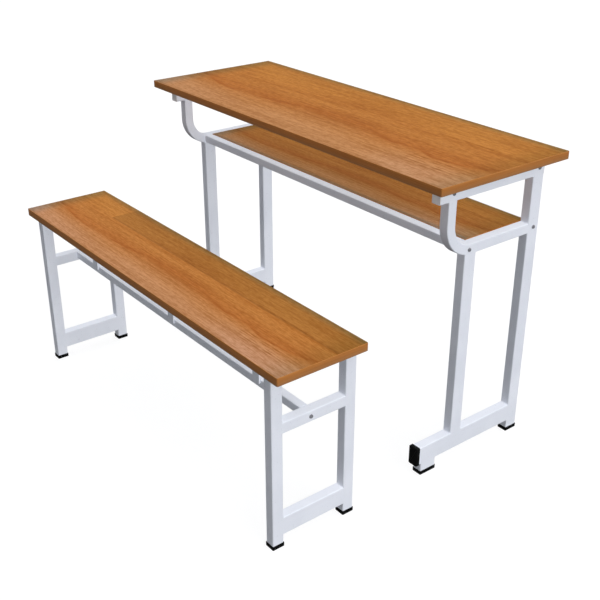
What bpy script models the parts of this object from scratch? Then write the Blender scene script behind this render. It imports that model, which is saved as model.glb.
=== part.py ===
"""Two-seat school desk with a book shelf under its top, and the separate bench that belongs to it.

Lengths are in metres. +X runs along the desk, +Y from the bench towards the desk, and +Z up.
The origin is on the floor, under the middle of the box round the whole set.
"""
import bpy
import bmesh
from math import cos, pi, radians, sin
from mathutils import Matrix, Vector

# Fits shared by all pieces
FIT_GAP = 0.0003                 # air between two pieces that touch or are welded
HOLE_CLEARANCE = 0.0004          # a bolt's or screw's hole, on the radius
CUT_OVERRUN = 0.002              # how far a cutter reaches past what it cuts

# Boards
DESK_LENGTH = 1.200
DESK_DEPTH = 0.426
DESK_HEIGHT = 0.778              # floor to the top of the desk
DESK_BOARD = 0.0195              # thickness of the desk's top
DESK_END_OVERHANG = 0.038        # past the frames, at either end
DESK_EDGE_OVERHANG = 0.038       # past the frames, front and back
SEAT_LENGTH = 1.200
SEAT_DEPTH = 0.245
SEAT_HEIGHT = 0.4735
SEAT_BOARD = 0.020
SEAT_END_OVERHANG = 0.038
SEAT_FRONT_OVERHANG = 0.0115
SEAT_REAR_STEP = 0.0015           # how far its frames stand out behind the seat
SHELF_BOARD = 0.004
SHELF_LAP = 0.012                # how far the shelf lies over its rear rail
BOARD_EDGE = 0.0015              # rounding of a board's edges
BENCH_STANDOFF = 0.194           # from the desk's front edge to the seat's rear edge

# Steel tube
TUBE_WIDTH = 0.026               # every frame tube, across the frame
TUBE_WALL = 0.0015
TUBE_CORNER = 0.0025             # outer radius of a tube's corners

# Desk frames
TOP_RAIL_HEIGHT = 0.039
DESK_LEG_DEPTH = 0.037
BOOK_TUBE = 0.026                # the bent tube, in the plane of its bend
BOOK_TUBE_SETBACK = 0.029        # behind the front end of the top rail
BEND_RADIUS = 0.0715             # to the middle of the bent tube
BOOK_SPACE = 0.1195              # clear height, from the shelf to the underside of the top rail
FRONT_LEG_LEAD = 0.019           # the front leg's face, ahead of the centre of the bend
FOOT_RAIL_HEIGHT = 0.050
FOOT_RAIL_CLEARANCE = 0.032      # floor to the underside of the foot rail
FOOT_RAIL_REACH = 0.023          # its cap, ahead of the front end of the top rail
STUB_DEPTH = 0.050
STUB_SETBACK = 0.007             # behind the front end of the foot rail

# Long rails of the desk
TOP_LONG_RAIL_DEPTH = 0.025
TOP_LONG_RAIL_HEIGHT = 0.030     # lower than the top rails of the frames, and flush with their tops
SHELF_RAIL_DEPTH = 0.025
SHELF_RAIL_HEIGHT = 0.022
LEDGE_DEPTH = 0.014              # strip behind the front shelf rail, under the shelf
LEDGE_THICKNESS = 0.003
SHELF_BOLT_DROP_SHARE = 0.5      # how low the front bolts sit, of the room there is inside the rail
SHELF_BOLT_RISE_SHARE = 0.7      # how high the rear bolts sit, of the same room

# Bench frames and seat rail
BENCH_LEG_DEPTH = 0.030
CROSS_RAIL_HEIGHT = 0.028
CROSS_RAIL_TOP = 0.3315
LOW_RAIL_HEIGHT = 0.048
LOW_RAIL_CLEARANCE = 0.0315
SEAT_RAIL = 0.022
SEAT_RAIL_SETBACK = 0.0955       # behind the front face of the bench frame
SEAT_BOLT_DROP_SHARE = 0.65      # how low its bolts sit, of the room there is inside the rail
LUG_REACH = 0.022                # tab at the head of a bench leg, under the seat
LUG_THICKNESS = 0.003
LUG_DEPTH = 0.022

# Brackets between the seat rail and the seat
BRACKET_WIDTH = 0.026
BRACKET_THICKNESS = 0.004
BRACKET_LAP = 0.009              # how far it covers the seat rail's front face
BRACKET_FLANGE = 0.045
LEFT_BRACKET_SHARE = 0.764       # places of the brackets, from mid-rail to the rail's ends
MIDDLE_BRACKET_SHARE = 0.0075
RIGHT_BRACKET_SHARE = 0.7047

# Plastic and rubber at the tube ends
FOOT_HEIGHT = 0.010
FOOT_LIP = 0.0012                # how far a foot stands out round its tube
CAP_HEAD = 0.002
TOE_CAP_HEAD = 0.010
TOE_CAP_LIP = 0.0014
PLUG_DEPTH = 0.012
PLUG_HEAD_CORNER = 0.004

# Bolts, nuts and screws
BOLT_RADIUS = 0.003
BOLT_HEAD_RADIUS = 0.005
BOLT_HEAD = 0.0033
BOLT_TIP = 0.002                 # thread that stands out past its nut
SOCKET_ACROSS = 0.004
SOCKET_DEPTH = 0.002
NUT_ACROSS = 0.010
NUT_THICKNESS = 0.005
END_PLATE = 0.002                # plate that closes the end of a long rail
SCREW_RADIUS = 0.002
SCREW_HEAD_RADIUS = 0.004
SCREW_HEAD = 0.0025
SCREW_BITE = 0.011               # length in the seat
SCREW_TIP_SPACE = 0.001          # at the bottom of its hole

# Profiles of the round and the moulded heads, as (inset or radius, height) from the outside in
FOOT_PROFILE_SHARES = ((0.12, 1.0), (0.0, 0.88), (0.0, 0.0))
CAP_PROFILE_SHARES = ((0.3, 1.0), (0.0, 0.7), (0.0, 0.0))
TOE_PROFILE_SHARES = ((0.45, 1.0), (0.15, 0.88), (0.0, 0.6), (0.0, 0.0))
BUTTON_PROFILE_SHARES = ((0.62, 1.0), (0.87, 0.74), (1.0, 0.3), (1.0, 0.0))
PAN_PROFILE_SHARES = ((0.5, 1.0), (0.88, 0.7), (1.0, 0.25), (1.0, 0.0))
TIP_SHARE = 0.75                 # radius at the end of a thread
CORNER_RADIUS_SHARE = 0.45       # most that a corner may take of a section's side

# Counts
CORNER_STEPS = 2
BEND_STEPS = 10
RING_POINTS = 4 * (CORNER_STEPS + 1)
HEXAGON_SIDES = 6
BEVEL_STEPS = 2
SHARP_ANGLE = radians(40)

X_AXIS = Vector((1, 0, 0))
Y_AXIS = Vector((0, 1, 0))
Z_AXIS = Vector((0, 0, 1))
SIDES = (("left", -1), ("right", 1))

# Places along Y: the set's box is centred on zero
set_depth = DESK_DEPTH + BENCH_STANDOFF + SEAT_DEPTH
desk_back = set_depth / 2
desk_front = desk_back - DESK_DEPTH
seat_front = -set_depth / 2
seat_back = seat_front + SEAT_DEPTH

# The desk's frames
desk_frame_x = DESK_LENGTH / 2 - DESK_END_OVERHANG - TUBE_WIDTH / 2
desk_inner_x = desk_frame_x - TUBE_WIDTH / 2
frame_front = desk_front + DESK_EDGE_OVERHANG
frame_back = desk_back - DESK_EDGE_OVERHANG
top_rail_top = DESK_HEIGHT - DESK_BOARD - FIT_GAP
top_rail_bottom = top_rail_top - TOP_RAIL_HEIGHT
top_rail_z = (top_rail_top + top_rail_bottom) / 2
top_long_rail_z = top_rail_top - TOP_LONG_RAIL_HEIGHT / 2
rear_leg_y = frame_back - DESK_LEG_DEPTH / 2
rear_leg_front = frame_back - DESK_LEG_DEPTH
book_tube_y = frame_front + BOOK_TUBE_SETBACK + BOOK_TUBE / 2
shelf_top = top_rail_bottom - BOOK_SPACE
side_run_z = shelf_top - BOOK_TUBE / 2
bend_y = book_tube_y + BEND_RADIUS
bend_z = side_run_z + BEND_RADIUS
front_leg_front = bend_y - FRONT_LEG_LEAD
front_leg_y = front_leg_front + DESK_LEG_DEPTH / 2
toe_front = frame_front - FOOT_RAIL_REACH
foot_rail_front = toe_front + TOE_CAP_HEAD + FIT_GAP
foot_rail_top = FOOT_RAIL_CLEARANCE + FOOT_RAIL_HEIGHT
stub_y = foot_rail_front + STUB_SETBACK + STUB_DEPTH / 2
tube_foot = FOOT_HEIGHT + FIT_GAP

# The shelf and its rails
shelf_underside = shelf_top - SHELF_BOARD
shelf_front_rail_y = front_leg_front + SHELF_RAIL_DEPTH / 2
shelf_front_rail_z = shelf_top - SHELF_RAIL_HEIGHT / 2
shelf_bolt_room = SHELF_RAIL_HEIGHT / 2 - TUBE_WALL - NUT_ACROSS / 2
shelf_bolt_drop = SHELF_BOLT_DROP_SHARE * shelf_bolt_room
shelf_bolt_rise = SHELF_BOLT_RISE_SHARE * shelf_bolt_room
shelf_front_bolt_z = shelf_front_rail_z - shelf_bolt_drop
shelf_rear_rail_y = rear_leg_y
shelf_rear_rail_z = shelf_underside - FIT_GAP - SHELF_RAIL_HEIGHT / 2
shelf_rear_bolt_z = shelf_rear_rail_z + shelf_bolt_rise
shelf_front = front_leg_front + SHELF_RAIL_DEPTH + FIT_GAP
shelf_back = shelf_rear_rail_y - SHELF_RAIL_DEPTH / 2 + SHELF_LAP

# The bench
bench_frame_x = SEAT_LENGTH / 2 - SEAT_END_OVERHANG - TUBE_WIDTH / 2
bench_inner_x = bench_frame_x - TUBE_WIDTH / 2
bench_front = seat_front + SEAT_FRONT_OVERHANG
bench_back = seat_back + SEAT_REAR_STEP
bench_leg_top = SEAT_HEIGHT - SEAT_BOARD - FIT_GAP
bench_front_leg_y = bench_front + BENCH_LEG_DEPTH / 2
bench_rear_leg_y = bench_back - BENCH_LEG_DEPTH / 2
cross_rail_z = CROSS_RAIL_TOP - CROSS_RAIL_HEIGHT / 2
low_rail_z = LOW_RAIL_CLEARANCE + LOW_RAIL_HEIGHT / 2
seat_rail_y = bench_front + SEAT_RAIL_SETBACK + SEAT_RAIL / 2
seat_rail_z = CROSS_RAIL_TOP - SEAT_RAIL / 2
seat_bolt_room = SEAT_RAIL / 2 - TUBE_WALL - NUT_ACROSS / 2
seat_bolt_drop = SEAT_BOLT_DROP_SHARE * seat_bolt_room
seat_bolt_z = seat_rail_z - seat_bolt_drop


def start_empty():
    """Clear the scene that the file opens with."""
    for thing in list(bpy.data.objects):
        bpy.data.objects.remove(thing, do_unlink=True)


def finish(name, colour, roughness, metallic):
    """A plain Principled material."""
    material = bpy.data.materials.new(name)
    material.use_nodes = True
    shader = material.node_tree.nodes["Principled BSDF"]
    shader.inputs["Base Color"].default_value = (*colour, 1.0)
    shader.inputs["Roughness"].default_value = roughness
    shader.inputs["Metallic"].default_value = metallic
    material.diffuse_color = (*colour, 1.0)
    return material


def add_object(name, mesh_data, material):
    """Put a finished bmesh into the scene as one named piece, shaded smooth between its sharp edges."""
    bmesh.ops.recalc_face_normals(mesh_data, faces=mesh_data.faces)
    mesh = bpy.data.meshes.new(name)
    mesh_data.to_mesh(mesh)
    mesh_data.free()
    mesh.shade_smooth()
    mesh.set_sharp_from_angle(angle=SHARP_ANGLE)
    if material:
        mesh.materials.append(material)
    piece = bpy.data.objects.new(name, mesh)
    bpy.context.scene.collection.objects.link(piece)
    return piece


def use_cutter(piece, cutter, operation):
    """Cut a piece with another, or weld the two together, and keep the tool out of the model."""
    cutter.hide_render = True
    cutter.display_type = "WIRE"
    modifier = piece.modifiers.new(cutter.name, "BOOLEAN")
    modifier.operation = operation
    modifier.solver = "EXACT"
    modifier.object = cutter


def rounded_outline(width, depth, corner):
    """Corner points of a tube's section, anticlockwise."""
    corner = min(corner, CORNER_RADIUS_SHARE * min(width, depth))
    points = []
    for quarter in range(4):
        turn = pi / 2 * quarter
        side_u = 1 if quarter in (0, 3) else -1
        side_v = 1 if quarter in (0, 1) else -1
        centre_u = side_u * (width / 2 - corner)
        centre_v = side_v * (depth / 2 - corner)
        for step in range(CORNER_STEPS + 1):
            angle = turn + pi / 2 * step / CORNER_STEPS
            points.append((centre_u + corner * cos(angle), centre_v + corner * sin(angle)))
    return points


def round_outline(radius):
    """A circle with as many points as a tube's section, each facing one of its corner points."""
    angles = [2 * pi * (step + 0.5) / RING_POINTS for step in range(RING_POINTS)]
    return [(radius * cos(angle), radius * sin(angle)) for angle in angles]


def hexagon_outline(across):
    """A hexagon with points at its corners and halfway along its sides, as many as a section has."""
    points = []
    half_side = pi / HEXAGON_SIDES
    for step in range(RING_POINTS):
        radius = across / 2 / cos(half_side) if step % 2 == 0 else across / 2
        angle = half_side * step
        points.append((radius * cos(angle), radius * sin(angle)))
    return points


def placed(outline, station):
    """An outline's points in space, at a station of (centre, across, up)."""
    centre, across, up = station
    return [centre + across * u + up * v for u, v in outline]


def ring_solid(name, rings, material, hollow=False):
    """Skin a chain of rings. A solid closes its first and last ring, and a tube joins them."""
    shape = bmesh.new()
    loops = [[shape.verts.new(point) for point in ring] for ring in rings]
    pairs = list(zip(loops, loops[1:]))
    if hollow:
        pairs.append((loops[-1], loops[0]))
    else:
        shape.faces.new(loops[0])
        shape.faces.new(loops[-1])
    for near, far in pairs:
        for corner in range(len(near)):
            after = (corner + 1) % len(near)
            shape.faces.new((near[corner], near[after], far[after], far[corner]))
    return add_object(name, shape, material)


def tube(name, stations, width, depth, material):
    """A hollow tube with open ends, along its stations."""
    outer = rounded_outline(width, depth, TUBE_CORNER)
    inner = rounded_outline(width - 2 * TUBE_WALL, depth - 2 * TUBE_WALL, TUBE_CORNER - TUBE_WALL)
    rings = [placed(outer, station) for station in stations]
    rings += [placed(inner, station) for station in reversed(stations)]
    return ring_solid(name, rings, material, hollow=True)


def upright(name, x, y, low, high, depth, material):
    """A straight tube that stands."""
    ends = [(Vector((x, y, z)), X_AXIS, Y_AXIS) for z in (low, high)]
    return tube(name, ends, TUBE_WIDTH, depth, material)


def crosswise(name, x, z, front, back, height, material):
    """A straight tube that runs from front to back."""
    ends = [(Vector((x, y, z)), X_AXIS, Z_AXIS) for y in (front, back)]
    return tube(name, ends, TUBE_WIDTH, height, material)


def bolted_rail(name, y, z, inner_x, depth, height, material, drop=0):
    """A long tube between two frames, its ends closed by a plate with a nut welded behind it."""
    half = inner_x - FIT_GAP
    plate = half - END_PLATE
    nut_end = plate - NUT_THICKNESS
    outer = rounded_outline(depth, height, TUBE_CORNER)
    inner = rounded_outline(depth - 2 * TUBE_WALL, height - 2 * TUBE_WALL, TUBE_CORNER - TUBE_WALL)
    hole = round_outline(BOLT_RADIUS + HOLE_CLEARANCE)
    nut = hexagon_outline(NUT_ACROSS)
    half_chain = [(outer, half, 0), (hole, half, drop), (hole, nut_end, drop),
                  (nut, nut_end, drop), (nut, plate, drop), (inner, plate, 0)]
    chain = half_chain + [(outline, -x, low) for outline, x, low in reversed(half_chain)]
    rings = [placed(outline, (Vector((x, y, z - low)), Y_AXIS, Z_AXIS)) for outline, x, low in chain]
    return ring_solid(name, rings, material, hollow=True)


def board(name, low, high, material):
    """A flat board with its edges lightly rounded."""
    shape = bmesh.new()
    size = Vector(high) - Vector(low)
    middle = (Vector(high) + Vector(low)) / 2
    bmesh.ops.create_cube(shape, size=1)
    bmesh.ops.scale(shape, vec=size, verts=shape.verts)
    bmesh.ops.translate(shape, vec=middle, verts=shape.verts)
    bmesh.ops.bevel(shape, geom=shape.edges[:], offset=BOARD_EDGE, segments=BEVEL_STEPS, profile=0.5,
                    affect="EDGES")
    return add_object(name, shape, material)


def block(name, low, high):
    """A plain box, as a tool to weld to another piece."""
    shape = bmesh.new()
    bmesh.ops.create_cube(shape, size=1)
    bmesh.ops.scale(shape, vec=Vector(high) - Vector(low), verts=shape.verts)
    bmesh.ops.translate(shape, vec=(Vector(high) + Vector(low)) / 2, verts=shape.verts)
    return add_object(name, shape, None)


def drill(piece, start, end, radius):
    """A round hole through a piece, from one point to another."""
    start, end = Vector(start), Vector(end)
    along = end - start
    shape = bmesh.new()
    bmesh.ops.create_cone(shape, cap_ends=True, segments=RING_POINTS, radius1=radius, radius2=radius,
                          depth=along.length)
    turn = Z_AXIS.rotation_difference(along).to_matrix().to_4x4()
    bmesh.ops.transform(shape, matrix=Matrix.Translation((start + end) / 2) @ turn, verts=shape.verts)
    use_cutter(piece, add_object(piece.name + "_drill", shape, None), "DIFFERENCE")


def drill_for_bolt(piece, x, y, z):
    """A bolt's hole across a frame tube, through both of its walls."""
    reach = TUBE_WIDTH / 2 + CUT_OVERRUN
    drill(piece, (x - reach, y, z), (x + reach, y, z), BOLT_RADIUS + HOLE_CLEARANCE)


def plug(name, mouth, outward, across, up, size, head, lip, profile, material):
    """A moulded end: a plug inside a tube's mouth, and a head that covers its rim."""
    width, depth = size
    rings = []
    for inset, height in profile:
        grow = 2 * (lip - inset * head)
        outline = rounded_outline(width + grow, depth + grow, PLUG_HEAD_CORNER)
        rings.append(placed(outline, (mouth + outward * (FIT_GAP + height * head), across, up)))
    shrink = 2 * (TUBE_WALL + FIT_GAP)
    inside = rounded_outline(width - shrink, depth - shrink, TUBE_CORNER - TUBE_WALL)
    for depth_in in (-FIT_GAP, PLUG_DEPTH):
        rings.append(placed(inside, (mouth - outward * depth_in, across, up)))
    return ring_solid(name, rings, material)


def foot(name, x, y, depth, material):
    """A rubber foot under an upright tube, standing on the floor."""
    mouth = Vector((x, y, tube_foot))
    return plug(name, mouth, -Z_AXIS, X_AXIS, Y_AXIS, (TUBE_WIDTH, depth), FOOT_HEIGHT, FOOT_LIP,
                FOOT_PROFILE_SHARES, material)


def bolt(name, outer_x, side, y, z, material):
    """A button-head bolt through a frame tube into the nut at the end of a long rail."""
    length = TUBE_WIDTH + FIT_GAP + END_PLATE + NUT_THICKNESS + BOLT_TIP
    face = Vector((outer_x, y, z)) + X_AXIS * side * FIT_GAP
    socket = hexagon_outline(SOCKET_ACROSS)
    chain = [(socket, BOLT_HEAD - SOCKET_DEPTH), (socket, BOLT_HEAD)]
    chain += [(round_outline(BOLT_HEAD_RADIUS * radius), BOLT_HEAD * height)
              for radius, height in BUTTON_PROFILE_SHARES]
    chain += [(round_outline(BOLT_RADIUS), 0), (round_outline(BOLT_RADIUS), BOLT_TIP - length),
              (round_outline(BOLT_RADIUS * TIP_SHARE), -length)]
    rings = [placed(outline, (face + X_AXIS * side * height, Y_AXIS, Z_AXIS)) for outline, height in chain]
    return ring_solid(name, rings, material)


def seat_screw(name, x, y, material):
    """A wood screw that holds the seat down, up through the lug of a bench leg."""
    head_top = bench_leg_top - LUG_THICKNESS - FIT_GAP
    tip = SEAT_HEIGHT - SEAT_BOARD + SCREW_BITE
    chain = [(round_outline(SCREW_HEAD_RADIUS * radius), head_top - SCREW_HEAD * height)
             for radius, height in PAN_PROFILE_SHARES]
    chain += [(round_outline(SCREW_RADIUS), head_top), (round_outline(SCREW_RADIUS), tip - SCREW_RADIUS),
              (round_outline(SCREW_RADIUS * (1 - TIP_SHARE)), tip)]
    rings = [placed(outline, (Vector((x, y, z)), X_AXIS, Y_AXIS)) for outline, z in chain]
    return ring_solid(name, rings, material)


def book_tube_stations(x, top):
    """The bent tube's line: down from the top rail, round the bend and back to the rear leg."""
    stations = [(Vector((x, book_tube_y, top)), X_AXIS, Y_AXIS)]
    for step in range(BEND_STEPS + 1):
        angle = pi / 2 * step / BEND_STEPS
        inward = Vector((0, cos(angle), sin(angle)))
        stations.append((Vector((x, bend_y, bend_z)) - inward * BEND_RADIUS, X_AXIS, inward))
    stations.append((Vector((x, rear_leg_front - FIT_GAP, side_run_z)), X_AXIS, Z_AXIS))
    return stations


def cope_for_book_tube(piece, x):
    """Shape the head of a front leg to the bend that stands on it."""
    stations = book_tube_stations(x, top_rail_bottom)
    outline = rounded_outline(TUBE_WIDTH + 2 * CUT_OVERRUN, BOOK_TUBE + 2 * FIT_GAP, TUBE_CORNER)
    cutter = ring_solid(piece.name + "_cope", [placed(outline, station) for station in stations], None)
    use_cutter(piece, cutter, "DIFFERENCE")


def make_desk_frame(name, side, steel, grey_plastic, black_plastic, rubber):
    """One end of the desk: top rail, bent book tube, two legs, foot rail and what closes them."""
    x = side * desk_frame_x
    rail_front = frame_front + CAP_HEAD + FIT_GAP
    rail_back = frame_back - CAP_HEAD - FIT_GAP
    top_rail = crosswise(name + "_top_rail", x, top_rail_z, rail_front, rail_back, TOP_RAIL_HEIGHT, steel)
    drill_for_bolt(top_rail, x, book_tube_y, top_rail_z)
    drill_for_bolt(top_rail, x, rear_leg_y, top_rail_z)
    cap_size = (TUBE_WIDTH, TOP_RAIL_HEIGHT)
    for end, y, outward in (("front", rail_front, -Y_AXIS), ("rear", rail_back, Y_AXIS)):
        plug(f"{name}_top_rail_{end}_cap", Vector((x, y, top_rail_z)), outward, X_AXIS, Z_AXIS, cap_size,
             CAP_HEAD, 0, CAP_PROFILE_SHARES, grey_plastic)

    weld_top = top_rail_bottom - FIT_GAP
    book_tube = tube(name + "_book_tube", book_tube_stations(x, weld_top), TUBE_WIDTH, BOOK_TUBE, steel)
    drill_for_bolt(book_tube, x, shelf_front_rail_y, shelf_front_bolt_z)

    front_leg = upright(name + "_front_leg", x, front_leg_y, foot_rail_top + FIT_GAP, side_run_z,
                        DESK_LEG_DEPTH, steel)
    cope_for_book_tube(front_leg, x)
    rear_leg = upright(name + "_rear_leg", x, rear_leg_y, tube_foot, weld_top, DESK_LEG_DEPTH, steel)
    drill_for_bolt(rear_leg, x, shelf_rear_rail_y, shelf_rear_bolt_z)

    foot_rail_z = FOOT_RAIL_CLEARANCE + FOOT_RAIL_HEIGHT / 2
    crosswise(name + "_foot_rail", x, foot_rail_z, foot_rail_front, rear_leg_front - FIT_GAP,
              FOOT_RAIL_HEIGHT, steel)
    plug(name + "_toe_cap", Vector((x, foot_rail_front, foot_rail_z)), -Y_AXIS, X_AXIS, Z_AXIS,
         (TUBE_WIDTH, FOOT_RAIL_HEIGHT), TOE_CAP_HEAD, TOE_CAP_LIP, TOE_PROFILE_SHARES, black_plastic)
    upright(name + "_foot_stub", x, stub_y, tube_foot, FOOT_RAIL_CLEARANCE - FIT_GAP, STUB_DEPTH, steel)
    foot(name + "_front_foot", x, stub_y, STUB_DEPTH, rubber)
    foot(name + "_rear_foot", x, rear_leg_y, DESK_LEG_DEPTH, rubber)


def make_desk_bolts(name, side, zinc):
    """The four bolts that tie one desk frame to the long rails."""
    outer_x = side * (desk_frame_x + TUBE_WIDTH / 2)
    bolt(name + "_top_front_bolt", outer_x, side, book_tube_y, top_rail_z, zinc)
    bolt(name + "_top_rear_bolt", outer_x, side, rear_leg_y, top_rail_z, zinc)
    bolt(name + "_shelf_front_bolt", outer_x, side, shelf_front_rail_y, shelf_front_bolt_z, zinc)
    bolt(name + "_shelf_rear_bolt", outer_x, side, shelf_rear_rail_y, shelf_rear_bolt_z, zinc)


def make_desk_rails(steel):
    """The four long rails of the desk. The front shelf rail carries a ledge for the shelf."""
    for end, y in (("front", book_tube_y), ("rear", rear_leg_y)):
        bolted_rail(f"desk_top_{end}_rail", y, top_long_rail_z, desk_inner_x, TOP_LONG_RAIL_DEPTH,
                    TOP_LONG_RAIL_HEIGHT, steel, top_long_rail_z - top_rail_z)
    front_rail = bolted_rail("shelf_front_rail", shelf_front_rail_y, shelf_front_rail_z, desk_inner_x,
                             SHELF_RAIL_DEPTH, SHELF_RAIL_HEIGHT, steel, shelf_bolt_drop)
    ledge_top = shelf_underside - FIT_GAP
    ledge_front = front_leg_front + SHELF_RAIL_DEPTH - TUBE_WALL / 2
    ledge_end = desk_inner_x - FIT_GAP
    ledge = block("shelf_front_rail_ledge", (-ledge_end, ledge_front, ledge_top - LEDGE_THICKNESS),
                  (ledge_end, ledge_front + LEDGE_DEPTH, ledge_top))
    use_cutter(front_rail, ledge, "UNION")
    bolted_rail("shelf_rear_rail", shelf_rear_rail_y, shelf_rear_rail_z, desk_inner_x,
                SHELF_RAIL_DEPTH, SHELF_RAIL_HEIGHT, steel, -shelf_bolt_rise)


def make_desk_boards(laminate):
    """The desk's top and the thin shelf between its frames."""
    half = DESK_LENGTH / 2
    board("desk_top", (-half, desk_front, DESK_HEIGHT - DESK_BOARD), (half, desk_back, DESK_HEIGHT),
          laminate)
    shelf_end = desk_inner_x - FIT_GAP
    board("book_shelf", (-shelf_end, shelf_front, shelf_underside), (shelf_end, shelf_back, shelf_top),
          laminate)


def make_bench_frame(name, side, steel, rubber, zinc):
    """One end of the bench: two legs, two cross rails, two feet and the bolt of the seat rail."""
    x = side * bench_frame_x
    lug_face = side * bench_inner_x
    lug_inside = lug_face + side * TUBE_WALL / 2
    lug_end = lug_face - side * LUG_REACH
    screw_x = lug_face - side * LUG_REACH / 2
    for end, y in (("front", bench_front_leg_y), ("rear", bench_rear_leg_y)):
        leg = upright(f"{name}_{end}_leg", x, y, tube_foot, bench_leg_top, BENCH_LEG_DEPTH, steel)
        low = (min(lug_inside, lug_end), y - LUG_DEPTH / 2, bench_leg_top - LUG_THICKNESS)
        high = (max(lug_inside, lug_end), y + LUG_DEPTH / 2, bench_leg_top)
        use_cutter(leg, block(leg.name + "_lug", low, high), "UNION")
        drill(leg, (screw_x, y, low[2] - CUT_OVERRUN), (screw_x, y, high[2] + CUT_OVERRUN),
              SCREW_RADIUS + HOLE_CLEARANCE)
        foot(f"{name}_{end}_foot", x, y, BENCH_LEG_DEPTH, rubber)
        seat_screw(f"{name}_{end}_seat_screw", screw_x, y, zinc)

    front = bench_front + BENCH_LEG_DEPTH + FIT_GAP
    back = bench_back - BENCH_LEG_DEPTH - FIT_GAP
    cross_rail = crosswise(name + "_cross_rail", x, cross_rail_z, front, back, CROSS_RAIL_HEIGHT, steel)
    drill_for_bolt(cross_rail, x, seat_rail_y, seat_bolt_z)
    crosswise(name + "_low_rail", x, low_rail_z, front, back, LOW_RAIL_HEIGHT, steel)
    bolt(name + "_seat_rail_bolt", side * (bench_frame_x + TUBE_WIDTH / 2), side, seat_rail_y, seat_bolt_z,
         zinc)


def make_seat(laminate):
    """The bench's board, with a blind hole for each screw."""
    half = SEAT_LENGTH / 2
    underside = SEAT_HEIGHT - SEAT_BOARD
    seat = board("bench_seat", (-half, seat_front, underside), (half, seat_back, SEAT_HEIGHT), laminate)
    screw_x = bench_inner_x - LUG_REACH / 2
    hole_top = underside + SCREW_BITE + SCREW_TIP_SPACE
    for x in (-screw_x, screw_x):
        for y in (bench_front_leg_y, bench_rear_leg_y):
            drill(seat, (x, y, underside - CUT_OVERRUN), (x, y, hole_top), SCREW_RADIUS + HOLE_CLEARANCE)


def make_bracket(name, x, steel):
    """A flat bar on the seat rail's face, bent back under the seat."""
    front = seat_rail_y - SEAT_RAIL / 2 - FIT_GAP - BRACKET_THICKNESS
    low = CROSS_RAIL_TOP - BRACKET_LAP
    top = bench_leg_top
    flange_back = front + BRACKET_FLANGE
    outer_radius = 2 * BRACKET_THICKNESS
    centre_y = front + outer_radius
    centre_z = top - outer_radius
    turns = [pi / 2 * step / CORNER_STEPS for step in range(CORNER_STEPS + 1)]
    outline = [(front + BRACKET_THICKNESS, low)]
    outline += [(centre_y - BRACKET_THICKNESS * cos(turn), centre_z + BRACKET_THICKNESS * sin(turn))
                for turn in turns]
    outline += [(flange_back, top - BRACKET_THICKNESS), (flange_back, top)]
    outline += [(centre_y - outer_radius * sin(turn), centre_z + outer_radius * cos(turn)) for turn in turns]
    outline.append((front, low))

    shape = bmesh.new()
    left = x - BRACKET_WIDTH / 2
    profile = shape.faces.new([shape.verts.new((left, y, z)) for y, z in outline])
    pushed = bmesh.ops.extrude_face_region(shape, geom=[profile])["geom"]
    corners = [part for part in pushed if isinstance(part, bmesh.types.BMVert)]
    bmesh.ops.translate(shape, vec=X_AXIS * BRACKET_WIDTH, verts=corners)
    return add_object(name, shape, steel)


def main():
    start_empty()
    steel = finish("white_powder_coat", (0.74, 0.76, 0.80), 0.38, 0.0)
    laminate = finish("wood_laminate", (0.52, 0.23, 0.07), 0.42, 0.0)
    grey_plastic = finish("grey_cap_plastic", (0.55, 0.55, 0.58), 0.5, 0.0)
    black_plastic = finish("black_cap_plastic", (0.012, 0.012, 0.014), 0.4, 0.0)
    rubber = finish("black_foot_rubber", (0.010, 0.010, 0.010), 0.75, 0.0)
    zinc = finish("dark_zinc", (0.16, 0.16, 0.18), 0.42, 0.9)

    for name, side in SIDES:
        make_desk_frame("desk_" + name, side, steel, grey_plastic, black_plastic, rubber)
        make_desk_bolts("desk_" + name, side, zinc)
        make_bench_frame("bench_" + name, side, steel, rubber, zinc)
    make_desk_rails(steel)
    make_desk_boards(laminate)
    bolted_rail("seat_rail", seat_rail_y, seat_rail_z, bench_inner_x, SEAT_RAIL, SEAT_RAIL, steel,
                seat_bolt_drop)
    make_seat(laminate)
    make_bracket("seat_bracket_left", -LEFT_BRACKET_SHARE * bench_inner_x, steel)
    make_bracket("seat_bracket_middle", MIDDLE_BRACKET_SHARE * bench_inner_x, steel)
    make_bracket("seat_bracket_right", RIGHT_BRACKET_SHARE * bench_inner_x, steel)


main()
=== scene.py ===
# %% [markdown]
# # A school desk and its bench, dressed for a picture
#
# The desk has a wood-faced top and a thin book shelf on two frames of welded steel tube. The bench is
# a wood-faced plank on two frames of its own. Everything here is in metres: +X runs along the desk,
# +Y from the bench to the desk, and +Z up.
#
# The plain solids of all the parts are loaded first. Each finer piece below takes its place and size
# from the solid it stands for, so nothing has to be fitted by eye.

# %% Load the frame
from math import asin, pi, radians, sqrt

import bmesh
import bpy
from mathutils import Matrix, Vector


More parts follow.
